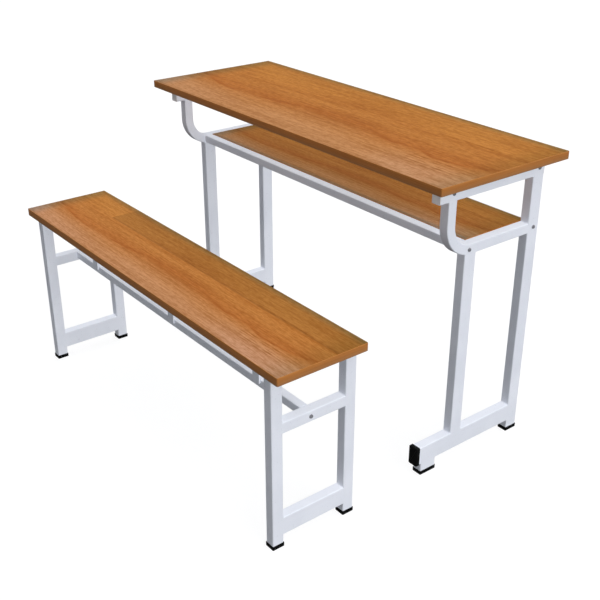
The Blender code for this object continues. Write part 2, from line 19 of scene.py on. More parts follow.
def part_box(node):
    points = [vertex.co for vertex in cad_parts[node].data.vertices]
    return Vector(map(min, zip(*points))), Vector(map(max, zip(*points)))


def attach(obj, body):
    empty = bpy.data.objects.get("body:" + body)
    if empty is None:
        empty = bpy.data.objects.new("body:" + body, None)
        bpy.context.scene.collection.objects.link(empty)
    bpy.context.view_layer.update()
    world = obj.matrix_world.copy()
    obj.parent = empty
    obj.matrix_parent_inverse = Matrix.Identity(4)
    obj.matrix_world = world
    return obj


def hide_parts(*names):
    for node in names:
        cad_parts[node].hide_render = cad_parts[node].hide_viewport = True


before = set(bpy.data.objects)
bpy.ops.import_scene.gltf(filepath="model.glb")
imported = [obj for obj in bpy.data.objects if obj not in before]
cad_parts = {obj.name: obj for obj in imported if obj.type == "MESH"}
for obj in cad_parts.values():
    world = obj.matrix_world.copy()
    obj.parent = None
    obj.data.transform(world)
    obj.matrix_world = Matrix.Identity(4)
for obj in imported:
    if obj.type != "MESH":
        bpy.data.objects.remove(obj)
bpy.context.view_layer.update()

MM = 0.001
X, Y, Z = 0, 1, 2

# %% [markdown]
# ## The camera
#
# The picture was taken from the bench's side, above and to the right, with a lens of moderate length.
# The camera is set first because every later choice is judged through it. Its shift is tiny: it only
# puts the picture's centre where it is in the photograph.

# %% The camera
CAMERA_PLACE = (1.94151, -1.42090, 1.48073)
CAMERA_AIM = (-0.70643, 0.55089, -0.44437)
LENS_MM = 58.087
SENSOR_MM = 36.0
SHIFT_SHARES = (0.00035, -0.00305)


def make_camera():
    lens = bpy.data.cameras.new("camera")
    lens.sensor_width = SENSOR_MM
    lens.lens = LENS_MM
    lens.shift_x, lens.shift_y = SHIFT_SHARES
    lens.dof.use_dof = False
    camera = bpy.data.objects.new("camera", lens)
    bpy.context.scene.collection.objects.link(camera)
    camera.location = CAMERA_PLACE
    camera.rotation_mode = "QUATERNION"
    camera.rotation_quaternion = Vector(CAMERA_AIM).to_track_quat("-Z", "Y")
    bpy.context.scene.camera = camera
    return camera


camera = make_camera()
print("camera at", [round(value, 3) for value in camera.location], "with a lens of", LENS_MM, "mm")

# %% [markdown]
# ## Writing shaders as sums
#
# A shader is a tree of nodes, and long trees are hard to read. `Wire` wraps one output socket and
# gives it Python's plus, minus and times, so `1 - mask` adds a Math node by itself. `Recipe` holds one
# tree, and its `node` method adds any other kind of node: its settings go in first, because they
# decide which sockets it has, and then the values or wires of its sockets. Most of a finish's colour
# comes from tints laid over each other, so `tint` multiplies a colour as far as a mask says.

# %% Wires and recipes
WHITE = (1.0, 1.0, 1.0)


class Wire:
    """One output socket that can be used in a Python expression."""

    def __init__(self, recipe, socket):
        self.recipe = recipe
        self.socket = socket

    def __add__(self, other):
        return self.recipe.math("ADD", self, other)

    def __sub__(self, other):
        return self.recipe.math("SUBTRACT", self, other)

    def __rsub__(self, other):
        return self.recipe.math("SUBTRACT", other, self)

    def __mul__(self, other):
        return self.recipe.math("MULTIPLY", self, other)

    def __pow__(self, other):
        return self.recipe.math("POWER", self, other)

    __radd__ = __add__
    __rmul__ = __mul__


class Recipe:
    """The node tree of one finish, or of the world."""

    def __init__(self, tree):
        self.tree = tree

    def node(self, kind, settings=None, sockets=None, output=0):
        """Add a node: first its settings and any colour stops, then its sockets by name or number."""
        node = self.tree.nodes.new(kind)
        for name, value in (settings or {}).items():
            if name == "stops":
                self.set_stops(node.color_ramp.elements, value)
            elif name == "curve":
                self.set_curve(node.mapping, value)
            else:
                setattr(node, name, value)
        for name, value in (sockets or {}).items():
            self.feed(node.inputs[name], value)
        return Wire(self, node.outputs[output])

    def set_stops(self, elements, stops):
        while len(elements) < len(stops):
            elements.new(1.0)
        for element, (place, colour) in zip(elements, stops):
            element.position = place
            element.color = (*colour, 1.0)

    def set_curve(self, mapping, places):
        points = mapping.curves[0].points
        while len(points) < len(places):
            points.new(0.5, 0.5)
        for point, place in zip(points, places):
            point.location = place
        mapping.update()

    def feed(self, socket, value):
        if isinstance(value, Wire):
            self.tree.links.new(value.socket, socket)
        elif socket.type == "RGBA":
            socket.default_value = (*value, 1.0)
        else:
            socket.default_value = value

    def math(self, operation, *values):
        return self.node("ShaderNodeMath", {"operation": operation}, dict(enumerate(values)))

    def smooth(self, value, low, high):
        """Zero below one value and one above another, with a soft step between."""
        settings = {"interpolation_type": "SMOOTHSTEP"}
        return self.node("ShaderNodeMapRange", settings, {"Value": value, "From Min": low, "From Max": high})

    def blend(self, factor, colour_a, colour_b, mode="MIX"):
        settings = {"data_type": "RGBA", "blend_type": mode}
        return self.node("ShaderNodeMix", settings, {0: factor, 6: colour_a, 7: colour_b}, 2)

    def multiply(self, colour_a, colour_b):
        return self.blend(1.0, colour_a, colour_b, "MULTIPLY")

    def tint(self, colour, mask, tint):
        return self.multiply(colour, self.blend(mask, WHITE, tint))

    def ramp(self, stops, value):
        return self.node("ShaderNodeValToRGB", {"stops": stops}, {"Fac": value})

    def curve(self, places, value):
        return self.node("ShaderNodeFloatCurve", {"curve": places}, {"Value": value})

    def place(self):
        return self.node("ShaderNodeTexCoord", output="Object")

    def axis(self, vector, name):
        return self.node("ShaderNodeSeparateXYZ", sockets={0: vector}, output=name)

    def noise(self, scale, detail=2.0, roughness=0.5, spot=None):
        """Noise from 0 to 1 with its own number of waves per metre along each axis."""
        spot = spot or self.place()
        stretched = self.node("ShaderNodeMapping", sockets={"Vector": spot, "Scale": scale})
        sockets = {"Vector": stretched, "Scale": 1.0, "Detail": detail, "Roughness": roughness}
        return self.node("ShaderNodeTexNoise", sockets=sockets)

    def bump(self, height, distance, strength=1.0):
        return self.node("ShaderNodeBump", sockets={"Height": height, "Distance": distance,
                                                    "Strength": strength})


def new_finish(name, look):
    """A Principled material under a recipe. The look holds what is the same all over it."""
    material = bpy.data.materials.new(name)
    material.use_nodes = True
    recipe = Recipe(material.node_tree)
    recipe.material = material
    recipe.shader = material.node_tree.nodes["Principled BSDF"].inputs
    for socket, value in look.items():
        recipe.feed(recipe.shader[socket], value)
    return recipe


def surface(recipe, **inputs):
    """Link what changes over the surface to the shader: colour, roughness or normal."""
    names = {"colour": "Base Color", "roughness": "Roughness", "normal": "Normal"}
    for name, value in inputs.items():
        recipe.feed(recipe.shader[names[name]], value)
    return recipe.material


print("recipe helpers ready")

# %% [markdown]
# ## Floor and light
#
# The picture is a plain product shot on white, and its light hardly casts a shadow: each way of facing
# has nearly one tone, bright above and to the right, grey in front, dark below. Two broad suns without
# shadows give the tops and the right-hand faces most of their light, a faint one touches the fronts, and
# a fourth lifts the faces that the picture doesn't show. The world adds an even glow and one large soft
# patch at the right, and these do cast soft shadows. Below the horizon it is dim, so undersides stay
# dark.
#
# The floor glows a little, which keeps it near white with only a breath of shadow, and it is kept out
# of the bounced light. The suns are left out of reflections, because they are not things to be seen.

# %% Floor and light
FLOOR_SIZE = 14.0
FLOOR_LOOK = {"Base Color": (0.40, 0.40, 0.40), "Roughness": 0.9, "Specular IOR Level": 0.0,
              "Emission Color": WHITE, "Emission Strength": 0.62}
EVEN_LEVEL = 0.33
BELOW_LEVEL = 0.10
HORIZON_BLUR = 0.02
PATCH_AIM, PATCH_LEVEL, PATCH_TIGHTNESS = (0.86, 0.23, 0.45), 1.25, 12.0
SKY_COLOUR = (0.965, 0.990, 1.035)
SUN_SPREAD = radians(52)
SUNS = (
    ("side_sun", (1.0, 0.0, 0.15), 1.54),
    ("top_sun", (0.0, 0.0, 1.0), 1.74),
    ("front_sun", (0.0, -1.0, 0.1), 0.08),
    ("back_sun", (-0.6, 0.75, 0.1), 0.80),
)


def make_floor():
    bpy.ops.object.select_all(action="DESELECT")
    bpy.ops.mesh.primitive_plane_add(size=FLOOR_SIZE, location=(0, 0, 0))
    floor = bpy.context.object
    floor.name = "floor"
    floor.data.materials.append(new_finish("pale_floor", FLOOR_LOOK).material)
    floor.visible_diffuse = False
    floor.visible_glossy = False
    floor.visible_shadow = False
    return floor


def make_world():
    world = bpy.data.worlds.new("studio")
    world.use_nodes = True
    bpy.context.scene.world = world
    sky = Recipe(world.node_tree)
    direction = sky.node("ShaderNodeTexCoord", output="Generated")
    aim = Vector(PATCH_AIM).normalized()
    facing = sky.node("ShaderNodeVectorMath", {"operation": "DOT_PRODUCT"}, {0: direction, 1: aim}, "Value")
    above = sky.math("MAXIMUM", facing, 0.0) ** PATCH_TIGHTNESS * PATCH_LEVEL + EVEN_LEVEL
    height = sky.node("ShaderNodeSeparateXYZ", sockets={0: direction}, output="Z")
    is_above = sky.smooth(height, -HORIZON_BLUR, HORIZON_BLUR)
    level = above * is_above + (1 - is_above) * BELOW_LEVEL
    seen = sky.node("ShaderNodeLightPath", output="Is Camera Ray")
    lit = sky.node("ShaderNodeBackground", sockets={"Color": SKY_COLOUR, "Strength": level})
    backdrop = sky.node("ShaderNodeBackground", sockets={"Color": WHITE})
    both = sky.node("ShaderNodeMixShader", sockets={0: seen, 1: lit, 2: backdrop})
    output = next(node for node in world.node_tree.nodes if node.type == "OUTPUT_WORLD")
    sky.feed(output.inputs["Surface"], both)
    return world


def add_sun(name, toward, strength):
    """A broad sun without shadows, shining from one side."""
    light = bpy.data.lights.new(name, "SUN")
    light.energy = strength
    light.angle = SUN_SPREAD
    light.use_shadow = False
    sun = bpy.data.objects.new(name, light)
    bpy.context.scene.collection.objects.link(sun)
    sun.rotation_euler = Vector(toward).to_track_quat("Z", "Y").to_euler()
    sun.visible_glossy = False
    return sun


make_floor()
make_world()
suns = [add_sun(*row) for row in SUNS]
bpy.context.scene.view_settings.view_transform = "Standard"
print("stage: a floor of", FLOOR_SIZE, "m under a studio sky and", len(suns), "suns")

# %% [markdown]
# ## Wood-grain laminate
#
# The boards are faced with a printed laminate, and the same print is scaled to each of them: pinker in
# front, golden at the back, and one wandering figure line between the two. So the print is worked out
# on shares of the board. A curve gives the figure line its path, and the tone of a point follows from
# how far it lies behind that line. The line is crisp on its front side, fades out behind, and is
# faintest where it swings back.
#
# Long noise makes the grain's streaks, and short flecks and fine lines come up in a few fields of the
# print, which the table of fields lists. A much finer noise makes the pores, which also dent the
# surface a little. The front corners have a paler, pinker cast, mostly the right one. The seat has a
# second, browner strip along its back, as if a stave were let in. Painted shade darkens and greys the
# print along the back and left edges, and on the shelf along its front; the shelf as a whole is tinted
# darker as painted shade of the top above it. The underside isn't printed: it has the plain grey backing
# sheet that keeps such a board from warping.

# %% The laminate of the boards
PRINT_LENGTH = 1.200             # size at which the print was drawn
PRINT_DEPTH = 0.426
FIGURE_PATH = (                  # places along the board and, from its front edge, across it
    (0.00, 0.420), (0.04, 0.385), (0.085, 0.355), (0.14, 0.315), (0.30, 0.330), (0.36, 0.350),
    (0.45, 0.415), (0.62, 0.418), (0.73, 0.338), (0.80, 0.358), (0.88, 0.316), (0.94, 0.342),
    (1.00, 0.440),
)
FIGURE_STRENGTH = (              # places along the board, and how dark the line is there
    (0.00, 0.30), (0.06, 0.45), (0.10, 1.00), (0.17, 0.90), (0.22, 0.30), (0.28, 0.20), (0.31, 0.90),
    (0.35, 0.95), (0.40, 0.50), (0.48, 0.35), (0.66, 0.25), (0.71, 0.80), (0.75, 0.85), (0.79, 0.35),
    (0.83, 0.80), (0.90, 1.00), (0.95, 0.60), (1.00, 0.40),
)
FIGURE_SHARE = 0.36              # mean place of the line across the board
TONE_FOLLOW = 0.4                # how much the tones swing with the line
WANDER = 0.035                   # how far the grain strays from its drawn path
LINE_FRONT, LINE_HEART, LINE_BACK = -0.014, 0.002, 0.040
GRAIN_NOISE = {                  # waves per metre along, across and through; detail; roughness
    "wander": ((14.0, 20.0, 0.0), 2.0, 0.5),
    "broad": ((2.4, 48.0, 0.0), 3.0, 0.6),
    "fine": ((22.0, 240.0, 0.0), 3.0, 0.65),
    "mottle": ((55.0, 120.0, 0.0), 2.0, 0.6),
    "breaks": ((26.0, 90.0, 0.0), 1.0, 0.5),
    "pores": ((90.0, 1500.0, 0.0), 1.0, 0.5),
}
GRAIN_TONES = (
    (0.00, (0.500, 0.232, 0.104)),
    (0.12, (0.525, 0.240, 0.104)),
    (0.22, (0.515, 0.222, 0.082)),
    (0.31, (0.495, 0.192, 0.058)),
    (0.36, (0.470, 0.166, 0.042)),
    (0.40, (0.455, 0.154, 0.036)),
    (0.47, (0.485, 0.176, 0.042)),
    (0.54, (0.510, 0.196, 0.048)),
    (0.62, (0.495, 0.184, 0.042)),
    (0.74, (0.515, 0.200, 0.044)),
    (0.90, (0.505, 0.202, 0.045)),
    (1.00, (0.480, 0.190, 0.044)),
)
LINE_TINT = (0.84, 0.70, 0.58)
STREAK_DARK = (0.76, 0.67, 0.56)
STREAK_LIGHT = (1.16, 1.22, 1.32)
FLECK_TINT = (0.70, 0.58, 0.44)
FLECK_FIELDS = (                 # along from, to; across from, to; distance between lines; strength
    (0.36, 0.68, 0.385, 0.530, 0.036, 0.50),
    (0.46, 0.57, 0.640, 0.740, 0.048, 0.50),
    (0.72, 1.02, 0.640, 0.700, 0.040, 0.60),
    (0.44, 0.62, 0.275, 0.325, 0.036, 0.40),
    (0.79, 0.99, 0.160, 0.310, 0.029, 0.75),
)
FLECK_SOFT_ALONG, FLECK_SOFT_ACROSS = 0.05, 0.012
PORE_COLOUR = (0.20, 0.070, 0.018)
PALE_TINT = (1.07, 1.17, 1.48)   # the pinker cast of the print in its front corners
PALE_LEFT = 0.4                  # how much of it the left corner has
STAVE_BOARD = "bench_seat"
STAVE_TINT = (0.81, 0.825, 0.83)
STAVE_START_SHARE = 0.175        # where the browner strip at the back of the seat begins
STAVE_FRONT_SHARE = 0.65
STAVE_SEAM = 0.36                # how dark the joint in front of the strip is
EDGE_SHADE_TINT = (0.60, 0.82, 1.16)    # painted shade: darker and greyer along the back and left edges
RIGHT_END_TINT = (0.79, 0.84, 0.81)
RIGHT_END = 0.090                # how far the print darkens from its right end
BOARD_TINTS_AND_EDGE_SHADE = {                  # tint of the board, on the shelf darker as painted shade of the top above it; width of its painted edge shade at the left, front and back
    "desk_top": ((0.940, 0.925, 0.77), (0.082, 0.001, 0.036)),
    "bench_seat": ((0.965, 0.975, 0.94), (0.065, 0.001, 0.026)),
    "book_shelf": ((0.80, 0.83, 0.70), (0.060, 0.022, 0.028)),
}
BACKING_DARK, BACKING_LIGHT = (0.36, 0.35, 0.33), (0.44, 0.43, 0.41)
BACKING_REACH = 0.4 * MM         # how far up from the underside the backing shows
PORE_DEPTH = 0.15 * MM
BOARD_LOOK = {"Specular IOR Level": 0.02}


def flecks(finish, along, across, breaks):
    """Short fine lines in a few fields of the print, from 0 to 1."""
    total = 0.0
    for start, end, front, back, period, strength in FLECK_FIELDS:
        inside = finish.smooth(along, start, start + FLECK_SOFT_ALONG)
        inside = inside * finish.smooth(along, end, end - FLECK_SOFT_ALONG)
        inside = inside * finish.smooth(across, front, front + FLECK_SOFT_ACROSS)
        inside = inside * finish.smooth(across, back, back - FLECK_SOFT_ACROSS)
        wave = finish.math("SINE", across * (2 * pi / period) + breaks * 5.0)
        total = inside * finish.smooth(wave, -0.2, 0.9) * finish.smooth(breaks, 0.35, 0.55) * strength + total
    return total


def painted_edge_shade(finish, spot, low, high, widths):
    """How much painted shade darkens and greys the print towards three of the board's edges, from 0 to 1."""
    left, front, back = widths
    x, y = finish.axis(spot, "X"), finish.axis(spot, "Y")
    shade = finish.smooth(x, low.x + left, low.x)
    shade = finish.math("MAXIMUM", shade, finish.smooth(y, low.y + front, low.y))
    return finish.math("MAXIMUM", shade, finish.smooth(y, high.y - back, high.y))


def let_in_stave(finish, colour, along, across, broad):
    """The browner strip at the back of a board, with the joint in front of it."""
    front = STAVE_FRONT_SHARE
    past_start = finish.smooth(along, STAVE_START_SHARE, STAVE_START_SHARE + 0.003)
    behind_joint = finish.smooth(across, front, front + 0.008)
    colour = finish.tint(colour, past_start * behind_joint, STAVE_TINT)
    seam = past_start * finish.smooth(across, front - 0.012, front)
    seam = seam * finish.smooth(across, front + 0.030, front + 0.008)
    return finish.blend(seam * finish.smooth(broad, 0.30, 0.60) * STAVE_SEAM, colour, PORE_COLOUR)


def make_laminate(name, node):
    """The printed wood on a board, scaled to the board that a solid stands for."""
    low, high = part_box(node)
    finish = new_finish(name, BOARD_LOOK)
    spot = finish.place()
    along = (finish.axis(spot, "X") - low.x) * (1 / (high.x - low.x))
    across = (finish.axis(spot, "Y") - low.y) * (1 / (high.y - low.y))
    sockets = {"X": along * PRINT_LENGTH, "Y": across * PRINT_DEPTH}
    drawn = finish.node("ShaderNodeCombineXYZ", sockets=sockets)

    noise = {kind: finish.noise(*row, spot=drawn) for kind, row in GRAIN_NOISE.items()}
    broad, fine, mottle, breaks = (noise[kind] for kind in ("broad", "fine", "mottle", "breaks"))

    wander = (noise["wander"] - 0.5) * WANDER
    path = finish.curve(FIGURE_PATH, along)
    behind = across - path + wander
    tones = finish.ramp(GRAIN_TONES, across - (path - FIGURE_SHARE) * TONE_FOLLOW + wander)
    crisp = finish.smooth(behind, LINE_FRONT, LINE_HEART) * finish.smooth(behind, LINE_BACK, LINE_HEART)
    colour = finish.tint(tones, crisp * finish.curve(FIGURE_STRENGTH, along), LINE_TINT)

    streaks = finish.smooth(broad * 0.38 + fine * 0.32 + mottle * 0.30, 0.37, 0.63)
    colour = finish.multiply(colour, finish.blend(streaks, STREAK_DARK, STREAK_LIGHT))
    left_corner = finish.smooth(along, 0.34, 0.14) * PALE_LEFT
    pale = finish.math("MAXIMUM", left_corner, finish.smooth(along, 0.72, 0.90))
    colour = finish.tint(colour, pale * finish.smooth(across, 0.34, 0.18), PALE_TINT)
    colour = finish.tint(colour, flecks(finish, along, across, breaks), FLECK_TINT)

    pores = finish.smooth(noise["pores"], 0.60, 0.72) * finish.smooth(broad, 0.35, 0.65)
    colour = finish.blend(pores * 0.45, colour, PORE_COLOUR)
    if node == STAVE_BOARD:
        colour = let_in_stave(finish, colour, along, across, broad)

    board_tint_and_shade, edge_shade_widths = BOARD_TINTS_AND_EDGE_SHADE[node]
    # Each board's own tint; the shelf's is darker, as painted shade of the top above it.
    colour = finish.multiply(colour, board_tint_and_shade)
    # Painted shade: the print darkens and greys towards the back and left edges, and on the shelf towards its
    # front.
    colour = finish.tint(colour, painted_edge_shade(finish, spot, low, high, edge_shade_widths), EDGE_SHADE_TINT)
    right_end = finish.smooth(finish.axis(spot, "X"), high.x - RIGHT_END, high.x)
    colour = finish.tint(colour, right_end, RIGHT_END_TINT)
    underside = finish.smooth(finish.axis(spot, "Z"), low.z + BACKING_REACH, low.z + BACKING_REACH / 2)
    colour = finish.blend(underside, colour, finish.blend(mottle, BACKING_DARK, BACKING_LIGHT))
    roughness = 0.46 + fine * 0.08 + pores * 0.15
    normal = finish.bump(1.0 - pores * 0.6 + fine * 0.15, PORE_DEPTH)
    return surface(finish, colour=colour, roughness=roughness, normal=normal)


BOARDS = {"desk_top": "desk", "bench_seat": "seat", "book_shelf": "shelf"}
LAMINATES = {node: make_laminate("wood_laminate_" + board, node) for node, board in BOARDS.items()}
print("laminates:", ", ".join(LAMINATES))

# %% [markdown]
# ## Edge band
#
# A strip of plastic in the wood's colour is glued round each board. Its print is plainer and a little
# browner than the face, it is painted darker and greyer towards its lower edge as shade and lighter at
# its top, and its streaks run along the strip. Noise with many waves per metre up the edge, and few
# along it, gives those streaks on all four sides at once.

# %% The edge band
BAND_TONES_WITH_SHADE = (                   # by height, from the band's lower edge to its upper one, darker below as painted shade
    (0.00, (0.330, 0.166, 0.072)),
    (0.35, (0.385, 0.159, 0.048)),
    (0.70, (0.425, 0.162, 0.040)),
    (1.00, (0.465, 0.182, 0.045)),
)
BAND_DARK, BAND_LIGHT = (0.86, 0.83, 0.80), (1.14, 1.17, 1.20)
BAND_LOOK = {"Specular IOR Level": 0.2}


def make_band_finish(name, node):
    low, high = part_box(node)
    finish = new_finish(name, BAND_LOOK)
    height = (finish.axis(finish.place(), "Z") - low.z) * (1 / (high.z - low.z))
    # The tones by height paint shade: dark at the band's lower edge, lighter towards its top.
    tones = finish.ramp(BAND_TONES_WITH_SHADE, height)
    grain = finish.noise((6.0, 6.0, 420.0), 3.0, 0.6)
    fine = finish.noise((30.0, 30.0, 1600.0), 2.0)
    streaks = finish.blend(finish.smooth(grain * 0.7 + fine * 0.3, 0.25, 0.75), BAND_DARK, BAND_LIGHT)
    colour = finish.multiply(tones, streaks)
    return surface(finish, colour=colour, roughness=0.34 + grain * 0.10, normal=finish.bump(fine, 0.05 * MM))


BANDS = {node: make_band_finish("wood_edge_band_" + board, node) for node, board in BOARDS.items()}
print("edge bands:", ", ".join(BANDS))

# %% [markdown]
# ## Powder coat
#
# The steel is powder-coated in a cool off-white. Up close such a coat is never flat: it has a fine
# orange peel, and its gloss changes a little where the coat is thicker. The peel is real relief, so it
# is a bump with waves of about a millimetre, and the gloss follows a slower noise.

# %% Powder coat
COAT_THIN = (0.775, 0.800, 0.870)
COAT_THICK = (0.825, 0.848, 0.915)
COAT_SPECK = (0.45, 0.45, 0.48)
COAT_PEEL = 0.03 * MM
COAT_LOOK = {"Specular IOR Level": 0.35}


def make_powder_coat():
    finish = new_finish("white_powder_coat", COAT_LOOK)
    thickness = finish.noise((9.0, 9.0, 9.0), 3.0)
    peel = finish.noise((900.0, 900.0, 900.0), 1.0)
    specks = finish.smooth(finish.noise((260.0, 260.0, 260.0), 0.0), 0.76, 0.80)
    colour = finish.blend(finish.smooth(thickness, 0.3, 0.7), COAT_THIN, COAT_THICK)
    colour = finish.blend(specks * 0.25, colour, COAT_SPECK)
    roughness = 0.44 + thickness * 0.12
    return surface(finish, colour=colour, roughness=roughness, normal=finish.bump(peel, COAT_PEEL))


COAT = make_powder_coat()
print("steel finish:", COAT.name)

# %% [markdown]
# ## Plastic, rubber and zinc
#
# The small pieces are moulded or plated. Moulded plastic has a spark-eroded grain that makes it matt,
# rubber is duller still and picks up a little dust, and the bolts are grey plated steel whose colour
# clouds a little. One function serves all the moulded ones, with a grain and a dust colour for each.

# %% Moulded finishes and plated steel
def make_moulded(name, base, dust, shine, roughness, grain_waves, grain_depth):
    """A moulded plastic or rubber: its colour, the dust on it, its shine and gloss, and its grain."""
    finish = new_finish(name, {"Specular IOR Level": shine})
    grain = finish.noise((grain_waves,) * 3, 2.0)
    cloud = finish.noise((45.0, 45.0, 45.0), 3.0)
    colour = finish.blend(finish.smooth(cloud, 0.35, 0.75), base, dust)
    gloss = roughness - 0.05 + cloud * 0.10
    return surface(finish, colour=colour, roughness=gloss, normal=finish.bump(grain, grain_depth))


def make_plated(name, dark, light, roughness):
    """Plated steel, clouded, with fine turning marks."""
    finish = new_finish(name, {"Metallic": 0.35})
    cloud = finish.noise((180.0, 180.0, 180.0), 3.0)
    marks = finish.noise((2500.0, 2500.0, 2500.0), 1.0)
    colour = finish.blend(finish.smooth(cloud, 0.3, 0.7), dark, light)
    gloss = roughness + cloud * 0.12
    return surface(finish, colour=colour, roughness=gloss, normal=finish.bump(marks, 0.02 * MM))


GREY_PLASTIC = make_moulded("grey_cap_plastic", (0.86, 0.86, 0.88), (0.90, 0.90, 0.91), 0.4, 0.50, 1500.0,
                            0.03 * MM)
BLACK_PLASTIC = make_moulded("black_cap_plastic", (0.004, 0.004, 0.004), (0.007, 0.007, 0.007), 0.10, 0.38,
                             1400.0, 0.04 * MM)
RUBBER = make_moulded("black_foot_rubber", (0.003, 0.003, 0.003), (0.008, 0.008, 0.008), 0.08, 0.60, 1100.0,
                      0.06 * MM)
ZINC = make_plated("dark_zinc", (0.20, 0.20, 0.22), (0.33, 0.33, 0.35), 0.32)
print("small finishes:", GREY_PLASTIC.name, BLACK_PLASTIC.name, RUBBER.name, ZINC.name)

# %% [markdown]
# ## Working by hand, in code
#
# Each new piece starts as a primitive at its own place, is shaped in edit mode, and is finished with
# modifiers that are applied. These helpers do what the hand does with the mouse: pick only one object,
# pick the faces or edges that lie a certain way, and apply a modifier. The chosen faces are found by
# their normal or their place, never by their number.

# %% Helpers for modelling
NEARLY_ONE = 0.999
SMOOTH_ANGLE = radians(38)
TUBE_WALL = 1.5 * MM
FIT_GAP = 0.3 * MM               # between the solids of neighbouring parts


def select_only(*pieces):
    bpy.ops.object.select_all(action="DESELECT")
    for piece in pieces:
        piece.select_set(True)
    bpy.context.view_layer.objects.active = pieces[0]


def add_block(name, low, high):
    """A box between two corners, which is how most of these pieces start."""
    bpy.ops.object.select_all(action="DESELECT")
    low, high = Vector(low), Vector(high)
    bpy.ops.mesh.primitive_cube_add(size=1, location=(low + high) / 2, scale=high - low)
    bpy.ops.object.transform_apply(location=True, rotation=True, scale=True)
    piece = bpy.context.object
    piece.name = piece.data.name = name
    return piece


def add_cylinder(name, sides, radius, depth, place, turn=(0, 0, 0)):
    """A cylinder standing at a place, or lying where it is turned."""
    bpy.ops.object.select_all(action="DESELECT")
    bpy.ops.mesh.primitive_cylinder_add(vertices=sides, radius=radius, depth=depth, location=place,
                                        rotation=turn)
    bpy.ops.object.transform_apply(location=True, rotation=True, scale=True)
    piece = bpy.context.object
    piece.name = piece.data.name = name
    return piece


def pick(piece, kind, test):
    """In edit mode, select the faces or edges that pass a test, and no others."""
    bpy.ops.mesh.select_mode(type=kind)
    bpy.ops.mesh.select_all(action="DESELECT")
    shape = bmesh.from_edit_mesh(piece.data)
    for part in shape.faces if kind == "FACE" else shape.edges:
        if test(part):
            part.select_set(True)
    shape.select_flush_mode()
    bmesh.update_edit_mesh(piece.data)


def faces_along(axis, sign=0):
    """A test for faces that look along an axis, both ways or only one way."""
    if sign:
        return lambda face: face.normal[axis] * sign > NEARLY_ONE
    return lambda face: abs(face.normal[axis]) > NEARLY_ONE


def edges_along(axis):
    """A test for edges that run along an axis."""
    return lambda edge: abs((edge.verts[1].co - edge.verts[0].co).normalized()[axis]) > NEARLY_ONE


def edit_mode():
    bpy.ops.object.mode_set(mode="EDIT")


def object_mode():
    bpy.ops.object.mode_set(mode="OBJECT")


def round_off(width, segments):
    """Bevel the picked edges."""
    bpy.ops.mesh.bevel(offset=width, segments=segments, affect="EDGES")


def draw_out(x, y, z):
    """Extrude the picked face and move the new one."""
    bpy.ops.mesh.extrude_region_move(TRANSFORM_OT_translate={"value": (x, y, z)})


def merge_skin():
    """Merge the doubled corners that a spin leaves, and turn all faces outwards."""
    bpy.ops.mesh.select_all(action="SELECT")
    bpy.ops.mesh.remove_doubles(threshold=MM / 1000)
    bpy.ops.mesh.normals_make_consistent(inside=False)


def apply_modifier(piece, kind, **settings):
    select_only(piece)
    modifier = piece.modifiers.new(kind.lower(), kind)
    for name, value in settings.items():
        setattr(modifier, name, value)
    bpy.ops.object.modifier_apply(modifier=modifier.name)


def hollow_out(piece):
    """Give an open skin the wall of the tube, which grows inwards."""
    apply_modifier(piece, "SOLIDIFY", thickness=TUBE_WALL, offset=-1, use_even_offset=True)


def cut(piece, cutter):
    """Take a cutter out of a piece for good."""
    apply_modifier(piece, "BOOLEAN", operation="DIFFERENCE", solver="EXACT", object=cutter)
    bpy.data.objects.remove(cutter)


def copy_piece(piece, name, move=(0, 0, 0), half_turn=False):
    """A copy with its own mesh, moved and, where it faces the other way, turned about a standing axis."""
    select_only(piece)
    bpy.ops.object.duplicate(linked=False)
    twin = bpy.context.object
    twin.name = twin.data.name = name
    if half_turn:
        twin.data.transform(Matrix.Rotation(pi, 4, "Z"))
    twin.data.transform(Matrix.Translation(move))
    return twin


def finish_piece(piece, material, body, slot, *nodes):
    """Shade, weight the normals so flat faces stay flat, paint, hang the piece under its body, and hide the
    solids it stands for.
    """
    select_only(piece)
    bpy.ops.object.shade_smooth_by_angle(angle=SMOOTH_ANGLE)
    apply_modifier(piece, "WEIGHTED_NORMAL", keep_sharp=True, weight=50)
    piece.data.materials.clear()
    piece.data.materials.append(material)
    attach(piece, body)
    if nodes:
        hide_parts(*nodes)
    return piece


print("modelling helpers ready")

# %% [markdown]
# ## Boards with an edge band
#
# A board is a flat core with a thin plastic band glued round its rim. The core is a box, a little
# smaller all round, with rounded corners. The band is the rim of a larger box: its top and bottom are
# deleted, its corners are rounded, and Solidify gives it a wall that grows inwards. Its outer edges are
# then rolled over, which is what catches the light along the top of a real board.

# %% Desk top, seat and shelf
BAND_THICKNESS = 1.0 * MM
BAND_SEAM = 0.12 * MM            # hairline between the face and the band
BAND_ROLL = 0.7 * MM             # rounding of the band's outer edges
BOARD_CORNER = 3.0 * MM
CORE_EDGE = 0.15 * MM
BOARD_STEPS = 4


def add_core(name, low, high):
    """The flat of a board, inside its band."""
    inset = Vector((1, 1, 0)) * (BAND_THICKNESS + BAND_SEAM)
    core = add_block(name, low + inset, high - inset)
    edit_mode()
    pick(core, "EDGE", edges_along(Z))
    round_off(BOARD_CORNER - BAND_THICKNESS, BOARD_STEPS)
    pick(core, "FACE", faces_along(Z))
    bpy.ops.mesh.region_to_loop()
    round_off(CORE_EDGE, 1)
    object_mode()
    return core


def is_corner_arc(edge, reach, middle):
    """True for an edge of the outer arc at one of the board's corners."""
    corner = reach - Vector((1, 1, 0)) * (BOARD_CORNER - BAND_THICKNESS / 2)
    out = [Vector((max(abs(v.co.x - middle.x) - corner.x, 0), max(abs(v.co.y - middle.y) - corner.y, 0), 0))
           for v in edge.verts]
    return min(arm.length for arm in out) > BOARD_CORNER - BAND_THICKNESS / 2


